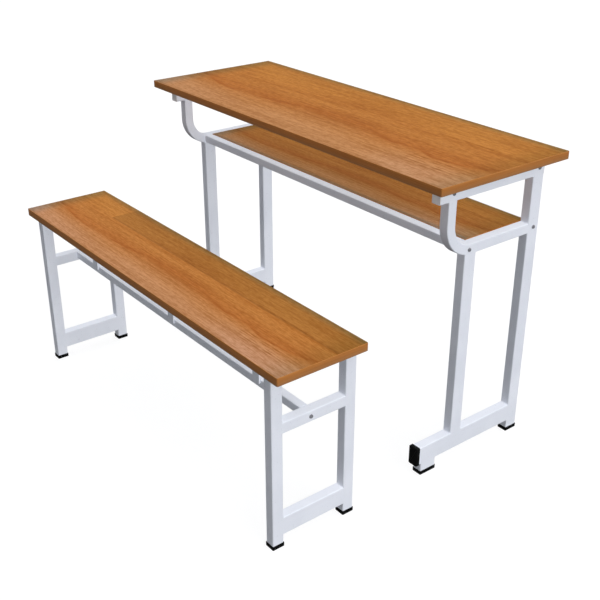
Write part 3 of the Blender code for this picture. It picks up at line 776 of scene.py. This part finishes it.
def add_band(name, low, high, roll):
    """The strip round a board's rim, with rolled edges."""
    band = add_block(name, low, high)
    edit_mode()
    pick(band, "FACE", faces_along(Z))
    bpy.ops.mesh.delete(type="ONLY_FACE")
    pick(band, "EDGE", edges_along(Z))
    round_off(BOARD_CORNER, BOARD_STEPS)
    object_mode()
    apply_modifier(band, "SOLIDIFY", thickness=BAND_THICKNESS, offset=-1, use_even_offset=True)
    edit_mode()
    middle = (low + high) / 2
    reach = (high - low) / 2 - Vector((1, 1, 0)) * BAND_THICKNESS / 2

    def on_outer_rim(edge):
        centre = (edge.verts[0].co + edge.verts[1].co) / 2 - middle
        flat = abs(edge.verts[0].co.z - edge.verts[1].co.z) < MM / 100
        on_side = abs(centre.x) > reach.x or abs(centre.y) > reach.y
        return flat and (on_side or is_corner_arc(edge, reach, middle))

    pick(band, "EDGE", on_outer_rim)
    round_off(roll, 3)
    object_mode()
    return band


def make_board(node, body, roll):
    """Core and band of one board, standing for its solid."""
    low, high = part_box(node)
    core = add_core(node + "_core", low, high)
    band = add_band(node + "_edge_band", low, high, roll)
    finish_piece(core, LAMINATES[node], body, "laminate", node)
    finish_piece(band, BANDS[node], body, "laminate")
    print(node, "is", round((high.x - low.x) / MM), "by", round((high.y - low.y) / MM), "mm, with",
          len(core.data.polygons) + len(band.data.polygons), "faces")


make_board("desk_top", "desk", BAND_ROLL)
make_board("bench_seat", "bench", BAND_ROLL)
make_board("book_shelf", "desk", BAND_ROLL / 2)

# %% [markdown]
# ## Steel tube
#
# All the straight steel is rectangular tube with a wall of 1.5 mm. A length of it is a box without its
# two ends. Its four long edges are rounded first, while it is still a single skin, and Solidify then
# gives it a wall, so the inner corners come out concentric with the outer ones as in rolled tube.

# %% Straight tube
TUBE_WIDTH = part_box("desk_right_rear_leg")[1].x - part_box("desk_right_rear_leg")[0].x
TUBE_CORNER = 2.5 * MM
TUBE_STEPS = 5


def add_tube(name, low, high, axis):
    """A length of tube with open ends, filling the box between two corners."""
    piece = add_block(name, low, high)
    edit_mode()
    pick(piece, "FACE", faces_along(axis))
    bpy.ops.mesh.delete(type="FACE")
    pick(piece, "EDGE", edges_along(axis))
    round_off(TUBE_CORNER, TUBE_STEPS)
    object_mode()
    hollow_out(piece)
    return piece


def pair_of(piece, stem, body, part, material, slot, half_turn=False):
    """Finish a right-hand piece, and copy it to the left-hand side for its own node."""
    right_node, left_node = f"{body}_right_{part}", f"{body}_left_{part}"
    right_low, right_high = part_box(right_node)
    left_low, left_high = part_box(left_node)
    if half_turn:
        middle = (right_low + right_high) / 2
        move = (left_low + left_high) / 2 - Vector((-middle.x, -middle.y, middle.z))
    else:
        move = left_low - right_low
    twin = copy_piece(piece, left_node + stem, move, half_turn)
    finish_piece(piece, material, body, slot, right_node)
    finish_piece(twin, material, body, slot, left_node)
    return piece, twin


STRAIGHT_TUBES = (
    ("desk", "top_rail", Y),
    ("desk", "rear_leg", Z),
    ("desk", "foot_rail", Y),
    ("desk", "foot_stub", Z),
    ("bench", "cross_rail", Y),
    ("bench", "low_rail", Y),
)
for body, part, axis in STRAIGHT_TUBES:
    node = f"{body}_right_{part}"
    piece = add_tube(node + "_tube", *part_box(node), axis)
    pair_of(piece, "_tube", body, part, COAT, "powder_coat")
print("straight tubes:", 2 * len(STRAIGHT_TUBES))

# %% [markdown]
# ## The bent book tube
#
# At each end of the book space one tube comes down from the top rail, turns through a quarter circle
# and runs back to the rear leg. It is modelled the way a tube bender makes it: a short straight length
# first, then its lower face is spun round the centre of the bend, and the last face is drawn out to the
# rear leg. The two end faces are deleted before Solidify gives the skin its wall.

# %% Bent tube and the front leg under it
BEND_STEPS = 20
BEND_RADIUS = 71.5 * MM          # to the middle of the tube
BOOK_TUBE = 26.0 * MM


def bend_centre():
    """Where the bend turns, worked out from the corner of the tube's box."""
    low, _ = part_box("desk_right_book_tube")
    outer = BEND_RADIUS + BOOK_TUBE / 2
    return Vector((low.x + TUBE_WIDTH / 2, low.y + outer, low.z + outer))


def add_bent_skin(name, low, high, grow=0.0):
    """The bent tube's outer skin, or a slightly larger one to cut with, closed at both ends."""
    centre = bend_centre()
    start = Vector((low.x - grow, low.y - grow, centre.z))
    end = Vector((high.x + grow, low.y + BOOK_TUBE + grow, high.z))
    piece = add_block(name, start, end)
    edit_mode()
    pick(piece, "EDGE", edges_along(Z))
    round_off(TUBE_CORNER, TUBE_STEPS)
    pick(piece, "FACE", faces_along(Z, -1))
    bpy.ops.mesh.spin(steps=BEND_STEPS, angle=-pi / 2, center=centre, axis=(1, 0, 0))
    draw_out(0, high.y - centre.y, 0)
    merge_skin()
    object_mode()
    return piece


def make_book_tube():
    low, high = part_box("desk_right_book_tube")
    piece = add_bent_skin("desk_right_book_tube_bent", low, high)
    edit_mode()
    pick(piece, "FACE", lambda face: len(face.verts) > 4)
    bpy.ops.mesh.delete(type="ONLY_FACE")
    object_mode()
    hollow_out(piece)
    pair_of(piece, "_bent", "desk", "book_tube", COAT, "powder_coat")
    return piece


def make_front_leg():
    """The leg under the bend, its head coped to the bent tube so that the two can be welded."""
    low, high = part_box("desk_right_front_leg")
    leg = add_tube("desk_right_front_leg_tube", low, Vector((high.x, high.y, high.z + BOOK_TUBE)), Z)
    cutter = add_bent_skin("cope_cutter", *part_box("desk_right_book_tube"), grow=FIT_GAP)
    cut(leg, cutter)
    edit_mode()
    bpy.ops.mesh.select_all(action="SELECT")
    bpy.ops.mesh.separate(type="LOOSE")
    object_mode()
    pieces = sorted(bpy.context.selected_objects, key=lambda part: min(v.co.z for v in part.data.vertices))
    for offcut in pieces[1:]:
        bpy.data.objects.remove(offcut)
    leg = pieces[0]
    leg.name = leg.data.name = "desk_right_front_leg_tube"
    pair_of(leg, "_tube", "desk", "front_leg", COAT, "powder_coat")
    return leg


book_tube = make_book_tube()
front_leg = make_front_leg()
print("bent tube:", len(book_tube.data.polygons), "faces; coped leg:", len(front_leg.data.polygons), "faces")

# %% [markdown]
# ## Long rails
#
# Tubes of the same kind run from frame to frame: two under the desk's top, two under the shelf, and one
# under the seat. The front shelf rail stands proud of the shelf's front edge, and behind it a thin
# ledge carries the shelf. The rails under the top are hidden from most sides and keep their plain
# solids, which are already the right shape. They only get the coat.

# %% Long rails
SHELF_RAIL_DEPTH = 25.0 * MM
LEDGE_THICKNESS = 3.0 * MM
LEDGE_EDGE = 0.4 * MM


def make_long_rails():
    for node, body in (("seat_rail", "bench"), ("shelf_rear_rail", "desk")):
        rail = add_tube(node + "_tube", *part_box(node), X)
        finish_piece(rail, COAT, body, "powder_coat", node)

    low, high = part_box("shelf_front_rail")
    rail = add_tube("shelf_front_rail_tube", low, Vector((high.x, low.y + SHELF_RAIL_DEPTH, high.z)), X)
    finish_piece(rail, COAT, "desk", "powder_coat", "shelf_front_rail")
    shelf_low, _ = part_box("book_shelf")
    ledge_top = shelf_low.z - FIT_GAP
    ledge_front = low.y + SHELF_RAIL_DEPTH - TUBE_WALL
    ledge = add_block("shelf_ledge", (low.x, ledge_front, ledge_top - LEDGE_THICKNESS),
                      (high.x, high.y, ledge_top))
    edit_mode()
    pick(ledge, "EDGE", edges_along(X))
    round_off(LEDGE_EDGE, 3)
    object_mode()
    finish_piece(ledge, COAT, "desk", "powder_coat")
    for node in ("desk_top_front_rail", "desk_top_rear_rail"):
        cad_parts[node].data.materials.clear()
        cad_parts[node].data.materials.append(COAT)


make_long_rails()

# %% [markdown]
# ## Bench legs
#
# A bench leg is a plain tube with a small steel tab, or lug, welded inside its head. A screw goes up
# through the lug into the seat. The lug is a rounded plate with a hole. Each leg is joined with its lug
# into one piece, because that is how it leaves the weld shop.

# %% Bench legs
LUG_THICKNESS = 3.0 * MM
LUG_DEPTH = 22.0 * MM
LUG_CORNER = 5.0 * MM
SCREW_HOLE_RADIUS = 2.4 * MM
HOLE_STEPS = 24


def make_bench_leg(end):
    node = f"bench_right_{end}_leg"
    low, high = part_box(node)
    inner = high.x - TUBE_WIDTH
    leg = add_tube(node + "_tube", Vector((inner, low.y, low.z)), high, Z)
    middle_y = (low.y + high.y) / 2
    lug = add_block("lug", (low.x, middle_y - LUG_DEPTH / 2, high.z - LUG_THICKNESS),
                    (inner + TUBE_WALL / 2, middle_y + LUG_DEPTH / 2, high.z))
    edit_mode()
    pick(lug, "EDGE", lambda edge: edges_along(Z)(edge) and edge.verts[0].co.x < inner)
    round_off(LUG_CORNER, TUBE_STEPS)
    object_mode()

    screw_low, screw_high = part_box(f"bench_right_{end}_seat_screw")
    screw_x = (screw_low.x + screw_high.x) / 2
    place = (screw_x, middle_y, high.z - LUG_THICKNESS / 2)
    cut(lug, add_cylinder("drill", HOLE_STEPS, SCREW_HOLE_RADIUS, 3 * LUG_THICKNESS, place))
    select_only(leg, lug)
    bpy.ops.object.join()
    pair_of(leg, "_tube", "bench", end + "_leg", COAT, "powder_coat", half_turn=True)
    return leg


bench_legs = [make_bench_leg(end) for end in ("front", "rear")]
print("bench legs:", 2 * len(bench_legs), "with lugs, each of", len(bench_legs[0].data.polygons), "faces")

# %% [markdown]
# ## Seat brackets
#
# Three short flat bars stand on the front of the seat rail and turn back under the seat. Like the book
# tube, each is an upright box whose top face is spun through a quarter circle and then drawn out. Its
# edges are rolled a little, as on cut flat bar, and its free end has rounded corners.

# %% Seat brackets
BRACKET_THICKNESS = 4.0 * MM
BRACKET_EDGE = 0.5 * MM
FLANGE_CORNER = 6.0 * MM
BRACKET_STEPS = 8
BRACKET_NODES = ("seat_bracket_left", "seat_bracket_middle", "seat_bracket_right")


def make_bracket():
    low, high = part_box("seat_bracket_right")
    turn = Vector((0, low.y + 2 * BRACKET_THICKNESS, high.z - 2 * BRACKET_THICKNESS))
    bracket = add_block("seat_bracket_right_bar", low, Vector((high.x, low.y + BRACKET_THICKNESS, turn.z)))
    edit_mode()
    pick(bracket, "FACE", faces_along(Z, 1))
    bpy.ops.mesh.spin(steps=BRACKET_STEPS, angle=pi / 2, center=turn, axis=(1, 0, 0))
    draw_out(0, high.y - turn.y, 0)
    merge_skin()
    pick(bracket, "EDGE", lambda edge: edges_along(Z)(edge) and edge.verts[0].co.y > high.y - MM / 100)
    round_off(FLANGE_CORNER, 4)
    pick(bracket, "EDGE", lambda edge: edge.calc_face_angle(0) > radians(60))
    round_off(BRACKET_EDGE, 2)
    object_mode()
    return bracket


def make_brackets():
    bracket = make_bracket()
    right_low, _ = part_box("seat_bracket_right")
    for node in BRACKET_NODES[:2]:
        low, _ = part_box(node)
        twin = copy_piece(bracket, node + "_bar", low - right_low)
        finish_piece(twin, COAT, "bench", "powder_coat", node)
    finish_piece(bracket, COAT, "bench", "powder_coat", "seat_bracket_right")
    return bracket


bracket = make_brackets()
print("brackets:", len(BRACKET_NODES), "of", len(bracket.data.polygons), "faces")

# %% [markdown]
# ## Weld beads
#
# The frames are welded, and a weld is not a line but a bead: a small ridge with ripples, left as the
# torch steps along the seam. A bead here is a thin cylinder laid in the corner between two tubes. It is
# cut into rings, every other ring is swollen, and its ends are tapered.
#
# The beads lie only across the tubes. On the flat sides of a frame the welds are ground flush, and
# there a thin block fills the seam, from the cut end of one tube to where the corner of the other
# begins. Under the bend, the end of such a block is spun along the arc.

# %% Weld beads
BEAD_RADIUS = 1.5 * MM
BEAD_SIDES = 10
BEAD_STEP = 1.6 * MM
BEAD_SWELL = 1.12
BEAD_TAPER = 0.35
FILL_STEPS = 6
FILL_DEPTH = 2.2 * MM
FILL_PROUD = 0.03 * MM
FILL_LAP = 0.2 * MM              # how far the filling reaches over the flats on both sides


def add_bead(y, z, low_x, high_x):
    """A rippled bead along X, in the corner between two tubes."""
    length = high_x - low_x
    rings = 2 * max(2, round(length / BEAD_STEP / 2))
    centre = Vector(((low_x + high_x) / 2, y, z))
    bead = add_cylinder("bead", BEAD_SIDES, BEAD_RADIUS, length, centre, (0, pi / 2, 0))
    edit_mode()
    pick(bead, "EDGE", edges_along(X))
    bpy.ops.mesh.subdivide(number_cuts=rings - 1)
    step = length / rings
    for ring in range(rings + 1):
        place = low_x + ring * step
        size = BEAD_TAPER if ring in (0, rings) else BEAD_SWELL if ring % 2 else 1.0
        pick(bead, "EDGE", lambda edge: all(abs(v.co.x - place) < step / 4 for v in edge.verts))
        bpy.ops.transform.resize(value=(1, size, size), center_override=centre)
    object_mode()
    return bead


def join_beads(name, beads):
    select_only(*beads)
    bpy.ops.object.join()
    joined = bpy.context.object
    joined.name = joined.data.name = name
    return joined


def desk_seams():
    """Places (y, z) of the seams across the right-hand desk frame."""
    rail_low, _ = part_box("desk_right_top_rail")
    book_low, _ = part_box("desk_right_book_tube")
    front_low, front_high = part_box("desk_right_front_leg")
    rear_low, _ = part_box("desk_right_rear_leg")
    foot_low, foot_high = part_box("desk_right_foot_rail")
    stub_low, stub_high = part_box("desk_right_foot_stub")
    centre = bend_centre()
    outer = BEND_RADIUS + BOOK_TUBE / 2
    bend_foot = centre.z - sqrt(outer ** 2 - (front_low.y - centre.y) ** 2)
    return [(book_low.y, rail_low.z), (book_low.y + BOOK_TUBE, rail_low.z), (rear_low.y, rail_low.z),
            (rear_low.y, book_low.z), (rear_low.y, book_low.z + BOOK_TUBE),
            (front_low.y, bend_foot), (front_high.y, book_low.z),
            (front_low.y, foot_high.z), (front_high.y, foot_high.z),
            (rear_low.y, foot_high.z), (rear_low.y, foot_low.z),
            (stub_low.y, foot_low.z), (stub_high.y, foot_low.z)]


def bench_seams():
    """Places (y, z) of the seams across the right-hand bench frame."""
    _, front_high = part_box("bench_right_front_leg")
    rear_low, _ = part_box("bench_right_rear_leg")
    seams = []
    for rail in ("cross_rail", "low_rail"):
        low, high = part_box("bench_right_" + rail)
        seams += [(y, z) for y in (front_high.y, rear_low.y) for z in (low.z, high.z)]
    return seams


def desk_fillings():
    """Rectangles (y, z to y, z) of the seams on the flat sides of the right-hand desk frame."""
    rail_low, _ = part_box("desk_right_top_rail")
    book_low, book_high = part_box("desk_right_book_tube")
    front_low, front_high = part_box("desk_right_front_leg")
    rear_low, rear_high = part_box("desk_right_rear_leg")
    foot_low, foot_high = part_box("desk_right_foot_rail")
    stub_low, stub_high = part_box("desk_right_foot_stub")
    edge = TUBE_CORNER
    return [(book_low.y + edge, book_high.z, book_low.y + BOOK_TUBE - edge, rail_low.z + edge),
            (rear_low.y + edge, rear_high.z, rear_high.y - edge, rail_low.z + edge),
            (book_high.y, book_low.z + edge, rear_low.y + edge, book_low.z + BOOK_TUBE - edge),
            (front_low.y + edge, foot_high.z - edge, front_high.y - edge, front_low.z),
            (foot_high.y, foot_low.z + edge, rear_low.y + edge, foot_high.z - edge),
            (stub_low.y + edge, stub_high.z, stub_high.y - edge, foot_low.z + edge)]


def bench_fillings():
    """Rectangles (y, z to y, z) of the seams on the flat sides of the right-hand bench frame."""
    _, front_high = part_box("bench_right_front_leg")
    rear_low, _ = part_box("bench_right_rear_leg")
    fillings = []
    for rail in ("cross_rail", "low_rail"):
        low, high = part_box("bench_right_" + rail)
        fillings += [(front_high.y - TUBE_CORNER, low.z + TUBE_CORNER, low.y, high.z - TUBE_CORNER),
                     (high.y, low.z + TUBE_CORNER, rear_low.y + TUBE_CORNER, high.z - TUBE_CORNER)]
    return fillings


def frame_sides():
    """Where a filling starts and ends along X, on the outer and on the inner side of a right-hand frame."""
    low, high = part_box("desk_right_rear_leg")
    return (low.x - FILL_PROUD, low.x + FILL_DEPTH), (high.x - FILL_DEPTH, high.x + FILL_PROUD)


def add_fillings(rectangles):
    made = []
    for low_y, low_z, high_y, high_z in rectangles:
        for low_x, high_x in frame_sides():
            made.append(add_block("filling", (low_x, low_y - FILL_LAP, low_z - FILL_LAP),
                                  (high_x, high_y + FILL_LAP, high_z + FILL_LAP)))
    return made


def add_bend_fillings():
    """The seam between the front leg's coped head and the bend above it."""
    low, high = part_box("desk_right_front_leg")
    book_low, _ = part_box("desk_right_book_tube")
    centre = bend_centre()
    turn = asin((centre.y - low.y - TUBE_CORNER) / (BEND_RADIUS + BOOK_TUBE / 2))
    made = []
    for low_x, high_x in frame_sides():
        piece = add_block("filling", (low_x, centre.y, book_low.z - FIT_GAP - FILL_LAP),
                          (high_x, high.y - TUBE_CORNER, book_low.z + TUBE_CORNER + FILL_LAP))
        edit_mode()
        pick(piece, "FACE", faces_along(Y, -1))
        bpy.ops.mesh.spin(steps=FILL_STEPS, angle=turn, center=centre, axis=(1, 0, 0))
        merge_skin()
        object_mode()
        made.append(piece)
    return made


def make_frame_welds(body, seams, fillings):
    """The beads and fillings of the right frame, and a copy of them for the left one."""
    high_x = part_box(f"{body}_right_rear_leg")[1].x - TUBE_CORNER
    low_x = high_x - TUBE_WIDTH + 2 * TUBE_CORNER
    beads = join_beads(body + "_right_weld_beads", [add_bead(y, z, low_x, high_x) for y, z in seams])
    twin = copy_piece(beads, body + "_left_weld_beads", (-(low_x + high_x), 0, 0))
    ground = join_beads(body + "_right_ground_welds", fillings)
    ground_twin = copy_piece(ground, body + "_left_ground_welds", (-(low_x + high_x), 0, 0))
    for piece in (ground, ground_twin, beads, twin):
        finish_piece(piece, COAT, body, "powder_coat")
    return beads


def make_bracket_beads():
    """A bead under the lap of each bracket, on the face of the seat rail."""
    beads = []
    for node in BRACKET_NODES:
        low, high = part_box(node)
        beads.append(add_bead(low.y + BRACKET_THICKNESS, low.z, low.x + MM, high.x - MM))
    return finish_piece(join_beads("bracket_weld_beads", beads), COAT, "bench", "powder_coat")


WELDS = (
    ("desk", desk_seams(), add_fillings(desk_fillings()) + add_bend_fillings()),
    ("bench", bench_seams(), add_fillings(bench_fillings())),
)
for body, seams, fillings in WELDS:
    beads = make_frame_welds(body, seams, fillings)
    print(body, "beads:", 2 * len(seams), "in two pieces of", len(beads.data.polygons), "faces")
make_bracket_beads()

# %% [markdown]
# ## Caps and toe caps
#
# A plastic plug closes each open tube end. It is a box for the head, whose outer face is inset and
# pushed out a little so that it domes, and whose back is inset and drawn out into the plug that grips
# inside the tube. The grey caps on the top rails are thin. The black toe caps at the floor are thicker
# and stand out round the tube, because they take the kicks.

# %% Caps
PLUG_DEPTH = 12.0 * MM
PLUG_PLAY = 0.3 * MM
CAP_HEAD = 2.0 * MM
TOE_CAP_HEAD = 10.0 * MM
TOE_CAP_LIP = 1.4 * MM
CAP_ROLL, TOE_CAP_ROLL = 0.5 * MM, 1.5 * MM
DISH_RIM, DISH_DEPTH = 0.5 * MM, 0.3 * MM


def add_cap(name, low, high, facing, lip, roll):
    """A plug's head between two corners, looking along -Y or +Y, with its plug behind it."""
    cap = add_block(name, low, high)
    edit_mode()
    pick(cap, "EDGE", edges_along(Y))
    round_off(TUBE_CORNER + lip / 2, TUBE_STEPS)
    pick(cap, "FACE", faces_along(Y, facing))
    bpy.ops.mesh.region_to_loop()
    round_off(roll, 4)
    pick(cap, "FACE", lambda face: len(face.verts) > 4 and faces_along(Y, facing)(face))
    bpy.ops.mesh.inset(thickness=roll)
    bpy.ops.mesh.inset(thickness=DISH_RIM, depth=-DISH_DEPTH)
    pick(cap, "FACE", lambda face: len(face.verts) > 4 and faces_along(Y, -facing)(face))
    bpy.ops.mesh.inset(thickness=lip + TUBE_WALL + PLUG_PLAY)
    draw_out(0, -facing * PLUG_DEPTH, 0)
    object_mode()
    return cap


def make_caps():
    made = []
    for part, facing in (("top_rail_front_cap", -1), ("top_rail_rear_cap", 1)):
        node = "desk_right_" + part
        low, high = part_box(node)
        head_low, head_high = low.copy(), high.copy()
        if facing < 0:
            head_high.y = low.y + CAP_HEAD
        else:
            head_low.y = high.y - CAP_HEAD
        cap = add_cap(node + "_plug", head_low, head_high, facing, 0, CAP_ROLL)
        made += pair_of(cap, "_plug", "desk", part, GREY_PLASTIC, "grey_plastic")
    low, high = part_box("desk_right_toe_cap")
    head_high = Vector((high.x, low.y + TOE_CAP_HEAD, high.z))
    toe = add_cap("desk_right_toe_cap_plug", low, head_high, -1, TOE_CAP_LIP, TOE_CAP_ROLL)
    made += pair_of(toe, "_plug", "desk", "toe_cap", BLACK_PLASTIC, "black_plastic")
    return made


caps = make_caps()
print("caps:", len(caps), "with", sum(len(cap.data.polygons) for cap in caps), "faces")

# %% [markdown]
# ## Rubber feet
#
# Each upright ends in a moulded rubber foot. It is built upwards from the floor: a sole with a hollow
# underneath, a narrow groove, a body that meets the tube, and a plug inside the tube. Each storey is the
# last top face, inset or let out and drawn up.

# %% Feet
FOOT_HEIGHT = 10.0 * MM
FOOT_LIP = 1.2 * MM
SOLE_HEIGHT = 3.6 * MM
GROOVE_HEIGHT = 0.9 * MM
GROOVE_DEPTH = 0.6 * MM
SOLE_HOLLOW = 0.8 * MM
SOLE_RIM = 3.0 * MM
FOOT_CORNER = 2.2 * MM
FOOT_ROLL = 0.5 * MM


def is_foot_rim(edge, low, high):
    """True for the outer edge at the top of a foot and round its sole."""
    start, end = (vertex.co for vertex in edge.verts)
    level = abs(start.z - end.z) < MM / 100
    at_rim = min(abs(start.z - FOOT_HEIGHT), abs(start.z)) < MM / 100
    reach = FOOT_CORNER / 3
    outside = all(min(v.x - low.x, high.x - v.x, v.y - low.y, high.y - v.y) < reach for v in (start, end))
    return level and at_rim and outside


def add_foot(name, low, high):
    """A foot on the floor, filling the plan of the box between two corners."""
    foot = add_block(name, low, Vector((high.x, high.y, SOLE_HEIGHT)))
    edit_mode()
    pick(foot, "EDGE", edges_along(Z))
    round_off(FOOT_CORNER, TUBE_STEPS)
    pick(foot, "FACE", faces_along(Z, 1))
    bpy.ops.mesh.inset(thickness=GROOVE_DEPTH)
    draw_out(0, 0, GROOVE_HEIGHT)
    draw_out(0, 0, 0)
    grown = 1 + 2 * GROOVE_DEPTH / (high.x - low.x - 2 * GROOVE_DEPTH)
    grown_y = 1 + 2 * GROOVE_DEPTH / (high.y - low.y - 2 * GROOVE_DEPTH)
    bpy.ops.transform.resize(value=(grown, grown_y, 1), center_override=(low + high) / 2)
    draw_out(0, 0, FOOT_HEIGHT - SOLE_HEIGHT - GROOVE_HEIGHT)
    bpy.ops.mesh.inset(thickness=FOOT_LIP + TUBE_WALL + PLUG_PLAY)
    draw_out(0, 0, PLUG_DEPTH)
    pick(foot, "FACE", lambda face: faces_along(Z, -1)(face) and face.calc_center_median().z < MM / 10)
    bpy.ops.mesh.inset(thickness=SOLE_RIM)
    draw_out(0, 0, SOLE_HOLLOW)
    pick(foot, "EDGE", lambda edge: is_foot_rim(edge, low, high))
    round_off(FOOT_ROLL, 3)
    object_mode()
    return foot


FEET = (("desk", "front_foot"), ("desk", "rear_foot"), ("bench", "front_foot"), ("bench", "rear_foot"))
for body, part in FEET:
    node = f"{body}_right_{part}"
    foot = add_foot(node + "_rubber", *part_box(node))
    pair_of(foot, "_rubber", body, part, RUBBER, "foot_rubber")
print("feet:", 2 * len(FEET))

# %% [markdown]
# ## Bolts and screws
#
# A bolt with a low round head and a hexagon socket goes through each frame tube into a nut inside the
# long rail. The head starts as a cylinder whose outer face is inset and pushed out in steps, which
# domes it. The socket is a hexagonal cutter, taken out with a Boolean. One bolt is modelled and all the
# others are copies of it. The screws under the seat, the brackets and the top are made the same way,
# with a cross slot.

# %% Bolts and screws
HEAD_SIDES = 32
BOLT_HEAD_RADIUS = 5.0 * MM
BOLT_HEAD = 3.3 * MM
BOLT_RADIUS = 3.0 * MM
SOCKET_SIDES = 6
SOCKET_RADIUS = 2.2 * MM
SOCKET_DEPTH = 2.0 * MM
SCREW_HEAD_RADIUS = 4.0 * MM
SCREW_HEAD = 2.5 * MM
SCREW_RADIUS = 2.0 * MM
SLOT_WIDTH = 0.9 * MM
SLOT_LENGTH = 4.6 * MM
SLOT_DEPTH = 1.2 * MM
HEAD_RIM_SHARE = 0.25            # the straight part of a head, below its dome
DOME_SHARES = ((0.94, 0.55), (0.82, 0.78), (0.62, 0.94), (0.45, 1.0))
BRACKET_SCREW_SHARES = (0.42, 0.78)
TOP_SCREW_SHARES = (0.36, 0.66)


def add_round_head(name, radius, head, shank_radius, shank):
    """A domed head above the origin, with its shank below it."""
    rim = head * HEAD_RIM_SHARE
    piece = add_cylinder(name, HEAD_SIDES, radius, rim, (0, 0, rim / 2))
    edit_mode()
    pick(piece, "FACE", faces_along(Z, 1))
    width, height = 1.0, HEAD_RIM_SHARE
    for width_share, height_share in DOME_SHARES:
        rise = (height_share - height) * head
        draw_out(0, 0, rise)
        size = width_share / width
        bpy.ops.transform.resize(value=(size, size, 1), center_override=(0, 0, 0))
        width, height = width_share, height_share
    pick(piece, "FACE", faces_along(Z, -1))
    bpy.ops.mesh.inset(thickness=radius - shank_radius)
    draw_out(0, 0, -shank)
    object_mode()
    return piece


def make_bolt(shank):
    bolt = add_round_head("bolt", BOLT_HEAD_RADIUS, BOLT_HEAD, BOLT_RADIUS, shank)
    cut(bolt, add_cylinder("socket", SOCKET_SIDES, SOCKET_RADIUS, 2 * SOCKET_DEPTH, (0, 0, BOLT_HEAD)))
    return bolt


def make_screw(shank):
    screw = add_round_head("screw", SCREW_HEAD_RADIUS, SCREW_HEAD, SCREW_RADIUS, shank)
    for width, length in ((SLOT_WIDTH, SLOT_LENGTH), (SLOT_LENGTH, SLOT_WIDTH)):
        slot = add_block("slot", (-width / 2, -length / 2, SCREW_HEAD - SLOT_DEPTH),
                         (width / 2, length / 2, SCREW_HEAD + SLOT_DEPTH))
        cut(screw, slot)
    return screw


def set_fastener(master, name, place, outward, material, body, slot, *nodes):
    """A copy of a bolt or screw, its head facing outward, seated at a place."""
    select_only(master)
    bpy.ops.object.duplicate(linked=False)
    fastener = bpy.context.object
    fastener.name = fastener.data.name = name
    turn = Vector((0, 0, 1)).rotation_difference(Vector(outward)).to_matrix().to_4x4()
    fastener.data.transform(Matrix.Translation(place) @ turn)
    return finish_piece(fastener, material, body, slot, *nodes)


def make_bolts():
    """One bolt for each of the bolt solids, on the outer face of its frame."""
    bolts = sorted(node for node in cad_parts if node.endswith("_bolt"))
    low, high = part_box(bolts[0])
    master = make_bolt(high.x - low.x - BOLT_HEAD)
    for node in bolts:
        low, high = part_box(node)
        middle = (low + high) / 2
        right = middle.x > 0
        seat_x = high.x - BOLT_HEAD if right else low.x + BOLT_HEAD
        body = "bench" if node.startswith("bench") else "desk"
        set_fastener(master, node + "_head", (seat_x, middle.y, middle.z), (1 if right else -1, 0, 0), ZINC,
                     body, "zinc", node)
    bpy.data.objects.remove(master)
    return bolts


def bracket_screw_places():
    """Two screws up through each bracket's flange, into the seat."""
    for node in BRACKET_NODES:
        low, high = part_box(node)
        for share in BRACKET_SCREW_SHARES:
            y = low.y + share * (high.y - low.y)
            place = Vector(((low.x + high.x) / 2, y, high.z - BRACKET_THICKNESS))
            yield f"{node}_screw_{round(100 * share)}", place


def top_screw_places():
    """Screws up through the rails under the desk's top."""
    for side in ("left", "right"):
        low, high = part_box(f"desk_{side}_top_rail")
        for share in TOP_SCREW_SHARES:
            y = low.y + share * (high.y - low.y)
            yield f"desk_{side}_top_screw_{round(100 * share)}", Vector(((low.x + high.x) / 2, y, low.z))
    for end in ("front", "rear"):
        low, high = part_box(f"desk_top_{end}_rail")
        for side in (-1, 1):
            name = f"desk_top_{end}_rail_screw_{'left' if side < 0 else 'right'}"
            yield name, Vector((side * high.x / 2, (low.y + high.y) / 2, low.z))


def make_screws():
    """The seat's screws replace their solids, and the others are added where such a desk has them."""
    down = (0, 0, -1)
    nodes = sorted(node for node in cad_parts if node.endswith("_screw"))
    low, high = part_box(nodes[0])
    master = make_screw(high.z - low.z - SCREW_HEAD)
    for node in nodes:
        low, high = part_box(node)
        place = Vector(((low.x + high.x) / 2, (low.y + high.y) / 2, low.z + SCREW_HEAD))
        set_fastener(master, node + "_head", place, down, ZINC, "bench", "zinc", node)
    count = len(nodes)
    for places, body in ((bracket_screw_places(), "bench"), (top_screw_places(), "desk")):
        for name, place in places:
            set_fastener(master, name, place, down, ZINC, body, "zinc")
            count += 1
    bpy.data.objects.remove(master)
    return count


print("bolts:", len(make_bolts()), "and screws:", make_screws())
